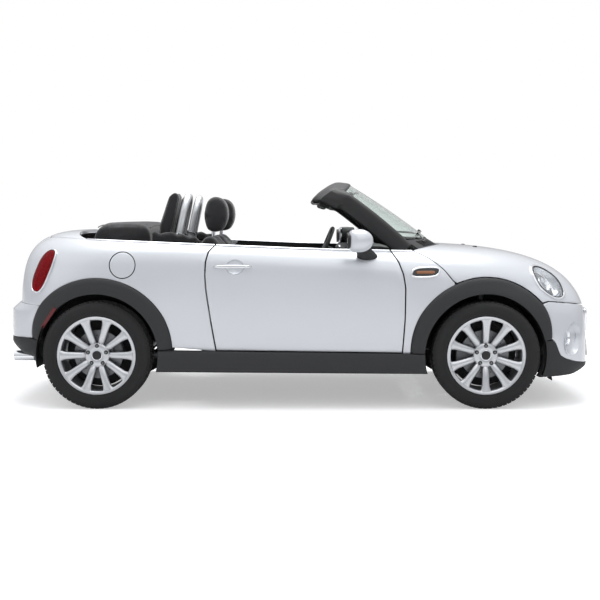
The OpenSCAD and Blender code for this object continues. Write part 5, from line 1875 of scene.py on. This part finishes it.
def build_steering(looks):
    a = np.linspace(0, 2 * np.pi, 97)[:-1]
    rim = np.stack([GRIP_R * np.cos(a), GRIP_R * np.sin(a), 0 * a], -1)
    grip = 15.6 + 0.4 * np.cos(2 * a)
    shape = sweep(rim, np.array([circle(g, 18) for g in grip]), up=(0, 0, 1), closed=True)
    keep("steering_rim", on_steering(shape), "leather", "steering_wheel", ["steering_wheel"],
         smooth=60)
    hub = lathe([(0.5, -60), (38, -60), (44, -54), (45, -8), (62, 0), (66, 8), (60, 15),
                 (40, 19), (0.5, 21)], 64)
    keep("steering_boss", on_steering(hub), "black", "steering_wheel")
    arms = []
    for t in np.radians([0, 120, 240]):
        d = np.array([math.cos(t), math.sin(t), 0])
        path = [d * s + [0, 0, -6 + 4 * (s > 100)] for s in np.linspace(38, 168, 12)]
        arms.append(sweep(path, boxes(np.linspace(21, 14, 12), 5, 3), up=(0, 0, 1)))
    keep("steering_spokes", on_steering(joined(*arms)), "hoop", "steering_wheel")
    paths = [[steer_at((GRIP_R * math.cos(t) + dx, GRIP_R * math.sin(t) + dy, 15.7)) for dx, dy in
              ((-4 * math.cos(t) - 3 * math.sin(t), -4 * math.sin(t) + 3 * math.cos(t)),
               (4 * math.cos(t), 4 * math.sin(t)))]
             for t in np.linspace(0, 2 * np.pi, 121)[:-1]]
    bars("steering_stitches", paths, 0.7, "thread", "steering_wheel", 5)


def puff(piece, cap, steps=20, pressure=4.0):
    """Swells a padded piece with cloth simulation, each point held within cap mm."""
    rest = np.array([v.co for v in piece.data.vertices], float)
    cloth = piece.modifiers.new("Swell", "CLOTH")
    cloth.settings.quality = 4
    cloth.settings.mass = 0.3
    cloth.settings.tension_stiffness = 12
    cloth.settings.compression_stiffness = 12
    cloth.settings.shear_stiffness = 6
    cloth.settings.bending_stiffness = 0.6
    cloth.settings.use_pressure = True
    cloth.settings.uniform_pressure_force = pressure
    cloth.settings.effector_weights.gravity = 0
    cloth.point_cache.frame_start = 1
    cloth.point_cache.frame_end = steps
    for step in range(1, steps + 1):
        bpy.context.scene.frame_set(step)
    graph = bpy.context.evaluated_depsgraph_get()
    now = np.array([v.co for v in piece.evaluated_get(graph).data.vertices], float)
    piece.modifiers.clear()
    bpy.context.scene.frame_set(1)
    if now.shape != rest.shape or not np.isfinite(now).all():
        raise RuntimeError(piece.name + " did not swell")
    moved = now - rest
    moved -= moved.mean(0)
    size = np.linalg.norm(moved, axis=1, keepdims=True)
    moved *= np.minimum(1, cap * MM / np.maximum(size, 1e-9))
    piece.data.vertices.foreach_set("co", (rest + moved).astype(np.float32).ravel())
    piece.data.update()


def remeshed(name, shape, voxel, round_by):
    """A closed shape with soft edges and even quads, ready to swell."""
    mesh = mesh_of(name, shape)
    mend(mesh)
    piece = linked(name, mesh)
    bevel = piece.modifiers.new("Soft edges", "BEVEL")
    bevel.width = round_by * MM
    bevel.segments = 4
    bevel.limit_method = "ANGLE"
    bevel.angle_limit = math.radians(25)
    even = piece.modifiers.new("Even", "REMESH")
    even.mode = "VOXEL"
    even.voxel_size = voxel * MM
    return bake(piece)


def pad(name, shape, material, body, nodes=(), voxel=12.0, round_by=26.0, cap=12.0,
        form=None, seams=()):
    """A padded piece: soft block, swollen, shaped and sewn."""
    piece = remeshed(name, shape, voxel, round_by)
    puff(piece, cap)
    smooth = piece.modifiers.new("Smooth", "SMOOTH")
    smooth.iterations = 4
    smooth.factor = 0.5
    fine = piece.modifiers.new("Fine", "SUBSURF")
    fine.levels = fine.render_levels = 1
    bake(piece)
    co = np.array([v.co for v in piece.data.vertices], float) / MM
    normal = np.array([v.normal for v in piece.data.vertices], float)
    if form:
        co = form(co)
    for distance, half, deep in seams:
        near = np.exp(-(distance(co) / half) ** 2)
        co = co - normal * (deep * near)[:, None]
    piece.data.vertices.foreach_set("co", (co * MM).astype(np.float32).ravel())
    piece.data.materials.clear()
    piece.data.materials.append(MATS[material])
    piece.data.shade_smooth()
    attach(piece, body)
    if nodes:
        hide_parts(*nodes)
    return piece


def shift(outline, dx):
    return [(dx + x, z) for x, z in outline]


def beside(y, gap):
    """Distance from the two upright seams that lie gap to either side of y."""
    return lambda co: np.abs(np.abs(co[:, 1] - y) - gap)


def level_line(z):
    """Distance from a level seam."""
    return lambda co: np.abs(co[:, 2] - z)


def build_seats(looks):
    base = cabin(0)
    for name, side in SIDES:
        y = side * SEAT_Y
        half = SEAT_W / 2 - 9

        def bolster(co, y=y):
            t = np.clip((np.abs(co[:, 1] - y) - 150) / 80, 0, 1)
            top = np.clip((1010 - co[:, 2]) / 160, 0, 1)
            out = co.copy()
            lean = (co[:, 2] - 520) / 490
            front = co[:, 0] > cabin(-560 - 110 * lean + 62)
            out[:, 0] += np.where(front, 1.0, 0.0) * 22 * ease(t) * top
            return out

        back = shift([(-358, 452), (-456, 438), (-520, 522), (-640, 1008), (-596, 1066),
                      (-550, 1066), (-500, 996)], base)
        pad("seat_back_" + name, extruded(back, y - half, y + half), "cloth", "root",
            ["front_seats"], 12, 34, 11, bolster,
            [(beside(y, 150), 5, 6), (level_line(700), 5, 5), (level_line(850), 5, 5)])
        cushion = shift([(-455, 330), (30, 330), (68, 384), (60, 486), (0, 480), (-330, 442),
                         (-455, 412)], base)

        def thighs(co, y=y):
            t = np.clip((np.abs(co[:, 1] - y) - 140) / 80, 0, 1)
            out = co.copy()
            out[:, 2] += np.where(co[:, 2] > 410, 1.0, 0.0) * 10 * ease(t)
            return out

        pad("seat_cushion_" + name, extruded(cushion, y - half, y + half), "cloth", "root",
            ["front_seats"], 13, 30, 10, thighs, [(beside(y, 140), 5, 6)])
        rails = []
        for dy in (-200, 160):
            rails.append(block(base - 450, base + 40, y + dy, y + dy + 40, 251.5, 268))
            for x in (-420, -20):
                rails.append(block(base + x, base + x + 40, y + dy + 8, y + dy + 32, 268, 335))
        keep("seat_rails_" + name, joined(*rails), "steel")
        rest = shift([(-596, 1084), (-504, 1084), (-462, 1176), (-474, 1272), (-528, 1314),
                      (-592, 1294), (-614, 1200)], base)
        pad("headrest_" + name, extruded(rest, y - 116, y + 116), "cloth", "root",
            ["front_headrests"], 7, 34, 9, None, [(beside(y, 88), 3.5, 3.5)])
        posts = [[(base - 565, y + d, 1050), (base - 560, y + d, 1110)] for d in (-70, 70)]
        bars("headrest_posts_" + name, posts, 6.5, "chrome", "root", 16)
        belt_paths(name, side)
    bench = shift([(-872, 428), (-622, 428), (-608, 496), (-632, 532), (-866, 512)], aft(0))
    pad("rear_cushion", extruded(bench, -532, 532), "cloth", "root", ["rear_seat"], 14, 28, 10,
        None, [(beside(0, 0), 6, 12), (beside(0, 400), 5, 6)])
    back = shift([(-892, 546), (-822, 552), (-756, 880), (-798, 891), (-842, 891)], aft(0))
    pad("rear_back", extruded(back, -532, 532), "cloth", "root", ["rear_seat"], 14, 26, 9,
        None, [(beside(0, 0), 6, 12), (level_line(740), 5, 5)])
    for name, side in SIDES:
        y = side * HOOP_Y
        rest = shift([(-910, 924), (-864, 924), (-818, 1122), (-773, 1324), (-792, 1340),
                      (-826, 1320), (-892, 1128)], aft(0))
        pad("rear_headrest_" + name, extruded(rest, y - 112, y + 112), "cloth", "root",
            ["rear_headrests"], 9, 24, 7, None,
            [(beside(y, 86), 4, 3)])


def belt_paths(name, side):
    """The seat belt's buckle and stalk beside the seat."""
    y = side * (SEAT_Y - SEAT_W / 2 - 18)
    stalk = sweep([(cabin(-430), y, 430), (cabin(-415), y, 500), (cabin(-405), y, 545)],
                  soft_box(4, 12), up=(0, 1, 0))
    buckle = sweep([(cabin(-405), y, 540), (cabin(-396), y, 600)], soft_box(8, 17, 3.5),
                   up=(1, 0, 0))
    keep("belt_buckle_" + name, joined(stalk, buckle), "black")


def build_hoops(looks):
    lean = math.radians(12)
    for name, side in SIDES:
        mid = np.array([aft(-768), side * HOOP_Y, 1080.0])

        def at(y, z):
            return mid + [z * math.sin(lean), y, z * math.cos(lean)]

        def arch(r, low, high, leg_points, top_points):
            path = [at(-r, z) for z in np.linspace(low, high, leg_points)]
            path += [at(-r * math.cos(t), 130 + r * math.sin(t))
                     for t in np.linspace(0, math.pi, top_points)]
            return path + [at(r, z) for z in np.linspace(high, low, leg_points)]

        leg = (1080 - 915 - 0.3 - 24 * math.sin(lean)) / math.cos(lean)
        tube = sweep(arch(105, 6 - leg, 120, 12, 33), circle(24, 28), up=(1, 0, -0.2))
        keep("roll_hoop_" + name, tube, "hoop", "root", ["roll_hoops"], smooth=60)
        # Black lining inside the hoop, and a collar at each foot
        inner = sweep(arch(72, -60, 125, 10, 25), soft_box(17, 10, 3), up=(1, 0, -0.2))
        keep("hoop_lining_" + name, inner, "black", smooth=60)
        middle = [at(0, z) for z in (-110, -60, 0, 60, 120, 160, 185)]
        width = (72, 74, 74, 74, 70, 56, 34)
        keep("hoop_panel_" + name, sweep(middle, np.array([soft_box(5, w, 5) for w in width]),
             up=(0, 1, 0)), "cloth", smooth=60)
        rings = [placed(lathe([(24.5, -8), (31, -6), (31, 6), (24.5, 8)], 40),
                        at(s * 105, -12), (math.cos(lean), 0, -math.sin(lean)), (0, 1, 0),
                        (math.sin(lean), 0, math.cos(lean))) for s in (-1, 1)]
        keep("hoop_collars_" + name, joined(*rings), "chrome")


def build_roof(looks):
    outline = shift([(-1292, 958), (-1308, 1048), (-1282, 1112), (-1246, 1132), (-1100, 1138),
                     (-964, 1132), (-938, 1088), (-938, 978), (-1000, 958)], aft(0))

    def fall(co):
        t = np.clip((np.abs(co[:, 1]) - 330) / 260, 0, 1)
        out = co.copy()
        out[:, 2] -= 16 * t * t * (co[:, 2] > 1000)
        return out

    def fold(x, lean=0.0):
        return lambda co: np.abs(co[:, 0] - aft(x) - lean * (co[:, 2] - 1040))

    pad("roof_pack", extruded(outline, -592, 592), "canvas", "root", ["folded_roof"], 13, 46,
        10, fall, [(fold(-1206), 6, 4), (fold(-1010, 0.1), 6, 4)])
    for name, side in SIDES:
        ends = shift([(-926, 1004), (-926, 1080), (-800, 1084), (-650, 1054), (-618, 1020),
                      (-644, 998)], aft(0))
        y = side * 618.0

        def crumple(co, y=y):
            x = co[:, 0] - aft(0)
            wave = np.sin(x / 17.0 + 1.3 * np.sin(x / 61.0))
            wave += 0.6 * np.sin(x / 9.5 + (co[:, 2] - 1000) / 30)
            out = co.copy()
            out[:, 1] += side * 3.2 * wave
            out[:, 2] += 5.0 * wave * np.clip((co[:, 2] - 1030) / 50, 0, 1)
            return out

        pad("roof_gather_" + name, extruded(ends, y - 18, y + 18), "canvas", "root",
            ["folded_roof"], 6, 14, 5, crumple, [])
    # Seam piping along the pack's two upper edges
    y = np.linspace(-560, 560, 57)
    drop = 16 * np.clip((np.abs(y) - 330) / 260, 0, 1) ** 2
    paths = [np.stack([np.full(57, aft(-1272)), y, 1126 - drop], -1),
             np.stack([np.full(57, aft(-945)), y, 1122 - drop], -1)]
    bars("roof_piping", paths, 3.5, "canvas", "root", 8)


def build_liner_lips(looks):
    """Front and rear ends of the arch linings, and the flaps ahead of the front wheels."""
    for name, side in SIDES:
        for way, end in ENDS:
            rings = []
            inner_y = 440.0 if way > 0 else 562.0
            for b in np.radians(np.linspace(-20 if way > 0 else -12, 27, 27)):
                ring = []
                for r, y in ((ARCH_R + 3, HALF_W - 48), (ARCH_R + 3, inner_y),
                             (ARCH_R + 9, inner_y), (ARCH_R + 9, HALF_W - 48)):
                    ring.append((axle_x(way) + way * r * math.cos(b), side * y,
                                 TYRE_R + r * math.sin(b)))
                rings.append(ring)
            keep("liner_lip_%s_%s" % (end, name), loft(np.array(rings)), "black")
        curtain = []
        for b in np.radians(np.linspace(-21, -6, 12)):
            curtain.append([(FRONT_AXLE + r * math.cos(b), side * y, TYRE_R + r * math.sin(b))
                            for r, y in ((TYRE_R + 2, 442), (TYRE_R + 2, 446),
                                         (ARCH_R + 6, 446), (ARCH_R + 6, 442))])
        keep("liner_curtain_" + name, loft(curtain), "black")
        flap = loft([[(fx(452) + 10 * t, side * y, 205 - 66 * t) for y in (445, 560)]
                     + [(fx(458) + 10 * t, side * y, 205 - 66 * t) for y in (560, 445)]
                     for t in (0, 0.5, 1)])
        keep("air_flap_" + name, flap, "black")


def build_exhaust(looks):
    tip = lathe([(29, -4), (31, -6), (33.5, -4), (33.5, 120), (31, 120), (30.5, 10)], 64)
    keep("tailpipe_tip", placed(tip, (TAIL_TIP - 30, PIPE_Y, PIPE_Z), (0, 1, 0), (0, 0, 1), (1, 0,
         0)), "chrome")


def build_floor_parts(looks):
    for name, material in FINISH.items():
        repaint(name, MATS[material])
    carpet = block(REAR_AXLE + 642, fx(-472), -698, 698, 251.4, 256)
    keep("carpet", carpet, "carpet")


def studio_floor(looks):
    """Matt white floor that keeps the soft shadow and fades into the backdrop."""
    made = surface("Pale studio floor", "#DEDEDE", 0.0, 0.95)
    shader = made.node_tree.nodes["Principled BSDF"]
    out = made.node_tree.nodes["Material Output"]
    at = add(made, "ShaderNodeTexCoord")
    far = add(made, "ShaderNodeVectorMath", {0: at.outputs["Object"]}, operation="LENGTH")
    fade = add(made, "ShaderNodeMapRange", {
        "Value": far.outputs["Value"], "From Min": 2.4, "From Max": 5.5})
    path = add(made, "ShaderNodeLightPath")
    seen = add(made, "ShaderNodeMath", {0: path.outputs["Is Camera Ray"], 1: looks.floor_glow},
               operation="MULTIPLY")
    glow = add(made, "ShaderNodeEmission", {"Strength": seen.outputs[0]})
    both = add(made, "ShaderNodeAddShader", {0: shader.outputs[0], 1: glow.outputs[0]})
    clear = add(made, "ShaderNodeBsdfTransparent")
    only = add(made, "ShaderNodeMath", {0: path.outputs["Is Camera Ray"], 1: fade.outputs[0]},
               operation="MULTIPLY")
    mix = add(made, "ShaderNodeMixShader", {0: only.outputs[0], 1: both.outputs[0],
                                            2: clear.outputs[0]})
    made.node_tree.links.new(mix.outputs[0], out.inputs["Surface"])
    return made


# The stage, in metres, with the camera's downward pitch in radians
FLOOR_M = 60.0
CAMERA_AT = (-0.0075, -7.32, 1.1713)
CAMERA_PITCH = 0.0765293
LENS_MM = 64.16
SENSOR_MM = 36.0


def build_stage(looks):
    floor_mesh = bpy.data.meshes.new("studio_floor")
    floor_mesh.from_pydata([(-FLOOR_M, -FLOOR_M, 0), (FLOOR_M, -FLOOR_M, 0),
                            (FLOOR_M, FLOOR_M, 0), (-FLOOR_M, FLOOR_M, 0)], [], [(0, 1, 2, 3)])
    floor = linked("studio_floor", floor_mesh)
    floor_mesh.materials.append(studio_floor(looks))
    world = bpy.data.worlds.new("Studio")
    bpy.context.scene.world = world
    world.use_nodes = True
    tree = world.node_tree
    tree.nodes.clear()
    path = node(tree, "ShaderNodeLightPath")
    seen = node(tree, "ShaderNodeMath", {0: path.outputs["Is Camera Ray"],
                                         1: path.outputs["Is Transmission Ray"]},
                operation="MAXIMUM")
    direction = node(tree, "ShaderNodeNewGeometry")
    split = node(tree, "ShaderNodeSeparateXYZ", {0: direction.outputs["Incoming"]})
    up = node(tree, "ShaderNodeMapRange", {
        "Value": split.outputs["Z"], "From Min": 0.25, "From Max": -0.95,
        "To Min": looks.low_light, "To Max": looks.top_light})
    soft = node(tree, "ShaderNodeBackground", {"Color": colour("#FBFCFF"),
                                               "Strength": up.outputs[0]})
    white = node(tree, "ShaderNodeBackground", {"Color": (1, 1, 1, 1), "Strength": 1.0})
    mix = node(tree, "ShaderNodeMixShader", {0: seen.outputs[0], 1: soft.outputs[0],
                                             2: white.outputs[0]})
    node(tree, "ShaderNodeOutputWorld", {0: mix.outputs[0]})
    for name, where, aim, size, power in (
            ("key_light", (1.5, -5.5, 5.2), (0, 0, 0.7), 5.0, looks.key_light),
            ("fill_light", (-6.0, -3.5, 3.0), (-0.8, 0, 0.6), 4.0, looks.key_light * 0.4),
            ("top_light", (0, 0.9, 6.0), (0, 0.2, 0), 6.0, looks.key_light * 10.0)):
        data = bpy.data.lights.new(name, "AREA")
        data.size = size
        data.energy = power
        lamp = linked(name, data)
        z = -unit(np.array(aim, float) - np.array(where, float))
        x = unit(np.cross([0, 1, 0.001], z))
        y = np.cross(z, x)
        turn = np.eye(4)
        turn[:3, 0], turn[:3, 1], turn[:3, 2], turn[:3, 3] = x, y, z, where
        lamp.matrix_world = Matrix(turn.tolist())
    data = bpy.data.cameras.new("camera")
    data.lens = LENS_MM
    data.sensor_width = SENSOR_MM
    camera = linked("camera", data)
    camera.location = CAMERA_AT
    camera.rotation_euler = (math.pi / 2 - CAMERA_PITCH, 0, 0)
    bpy.context.scene.camera = camera
    bpy.context.scene.view_settings.view_transform = "Standard"


# ---- Add-on ----


class CarLooks(bpy.types.PropertyGroup):
    """Choices for the car's looks."""

    paint: bpy.props.StringProperty(
        name="Paint", description="Body colour as a hex value", default="#CDD0D5")
    spokes: bpy.props.IntProperty(
        name="Spokes", description="Spokes of each wheel", default=10, min=5, max=20)
    bolts: bpy.props.IntProperty(
        name="Bolts", description="Bolts of each wheel", default=5, min=3, max=6)
    tread_blocks: bpy.props.IntProperty(
        name="Tread blocks", description="Tread blocks round a tyre, in each row",
        default=66, min=40, max=90)
    key_light: bpy.props.FloatProperty(
        name="Key light", description="Power of the main soft lamp, in watts", default=38.0)
    top_light: bpy.props.FloatProperty(
        name="Top light", description="Strength of the sky overhead", default=1.2)
    low_light: bpy.props.FloatProperty(
        name="Low light", description="Strength of the sky near the horizon", default=0.24)
    floor_glow: bpy.props.FloatProperty(
        name="Floor glow", description="Light added to the floor as the camera sees it",
        default=0.42)


def piece_operator(key, label, text, build):
    """An operator class that builds one group of pieces."""

    def execute(self, context):
        build(context.scene.car_looks)
        return {"FINISHED"}

    return type("CAR_OT_" + key, (bpy.types.Operator,), {
        "bl_idname": "car." + key, "bl_label": label, "__doc__": text, "execute": execute})


def fill_materials(looks):
    MATS.update(make_materials(looks))


STEPS = (
    ("materials", "Materials", "Makes every procedural material", fill_materials),
    ("floor_parts", "Floor and running gear", "Finishes the carried-over parts",
     build_floor_parts),
    ("doors", "Doors", "Builds both door skins and linings", build_doors),
    ("sides", "Side panels", "Builds side panels, quarters and fuel flap", build_sides),
    ("rear", "Rear deck and lid", "Builds the deck, boot lid and rear plate", build_rear),
    ("hood", "Hood", "Builds the hood with its lamp openings", build_hood),
    ("bumpers", "Bumpers", "Builds both bumpers and valances", build_bumpers),
    ("trims", "Arch trims", "Builds arch trims and sill covers", build_trims),
    ("windscreen", "Windscreen", "Builds pane, frame, visors and mirror", build_windscreen),
    ("cowl", "Cowl and wipers", "Builds the cowl, louvres and wipers", build_cowl),
    ("headlamps", "Head lamps", "Builds bowls, lenses and rings", build_headlamps),
    ("tail_lamps", "Tail lamps", "Builds tail lamps and markers", build_tail_lamps),
    ("front_details", "Grille and fog lamps", "Builds grille, intake and fog lamps",
     build_front_details),
    ("brightwork", "Bright strips", "Builds belt strips, door pulls and vents",
     build_brightwork),
    ("wheels", "Wheels and tyres", "Builds rims, bolts, brakes and treads", build_wheels),
    ("mirrors", "Mirrors", "Builds caps, feet and glasses", build_mirrors),
    ("dashboard", "Dashboard", "Builds the dash, dials and lever", build_dashboard),
    ("steering", "Steering wheel", "Builds rim, boss and spokes", build_steering),
    ("seats", "Seats", "Builds the padded seats and headrests", build_seats),
    ("hoops", "Roll hoops", "Builds hoops, linings and collars", build_hoops),
    ("roof", "Folded roof", "Builds the folded canvas roof", build_roof),
    ("liner_lips", "Arch lining ends", "Builds the arch linings' ends and air flaps",
     build_liner_lips),
    ("exhaust", "Exhaust", "Builds the bright tailpipe tip", build_exhaust),
    ("stage", "Stage", "Sets floor, light and camera", build_stage),
)
OPERATORS = [piece_operator(*step) for step in STEPS]


class CAR_PT_looks(bpy.types.Panel):
    """Sidebar panel with one button for each group of pieces."""

    bl_label = "Convertible car"
    bl_idname = "CAR_PT_looks"
    bl_space_type = "VIEW_3D"
    bl_region_type = "UI"
    bl_category = "Car"

    def draw(self, context):
        looks = context.scene.car_looks
        for key in ("paint", "spokes", "bolts", "tread_blocks", "key_light", "top_light",
                    "low_light", "floor_glow"):
            self.layout.prop(looks, key)
        for operator in OPERATORS:
            self.layout.operator(operator.bl_idname)


CLASSES = [CarLooks, CAR_PT_looks] + OPERATORS


def register():
    for item in CLASSES:
        bpy.utils.register_class(item)
    bpy.types.Scene.car_looks = bpy.props.PointerProperty(type=CarLooks)


def unregister():
    del bpy.types.Scene.car_looks
    for item in reversed(CLASSES):
        bpy.utils.unregister_class(item)


def main():
    register()
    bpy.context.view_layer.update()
    for key, _, _, _ in STEPS:
        getattr(bpy.ops.car, key)()


if __name__ == "__main__":
    main()
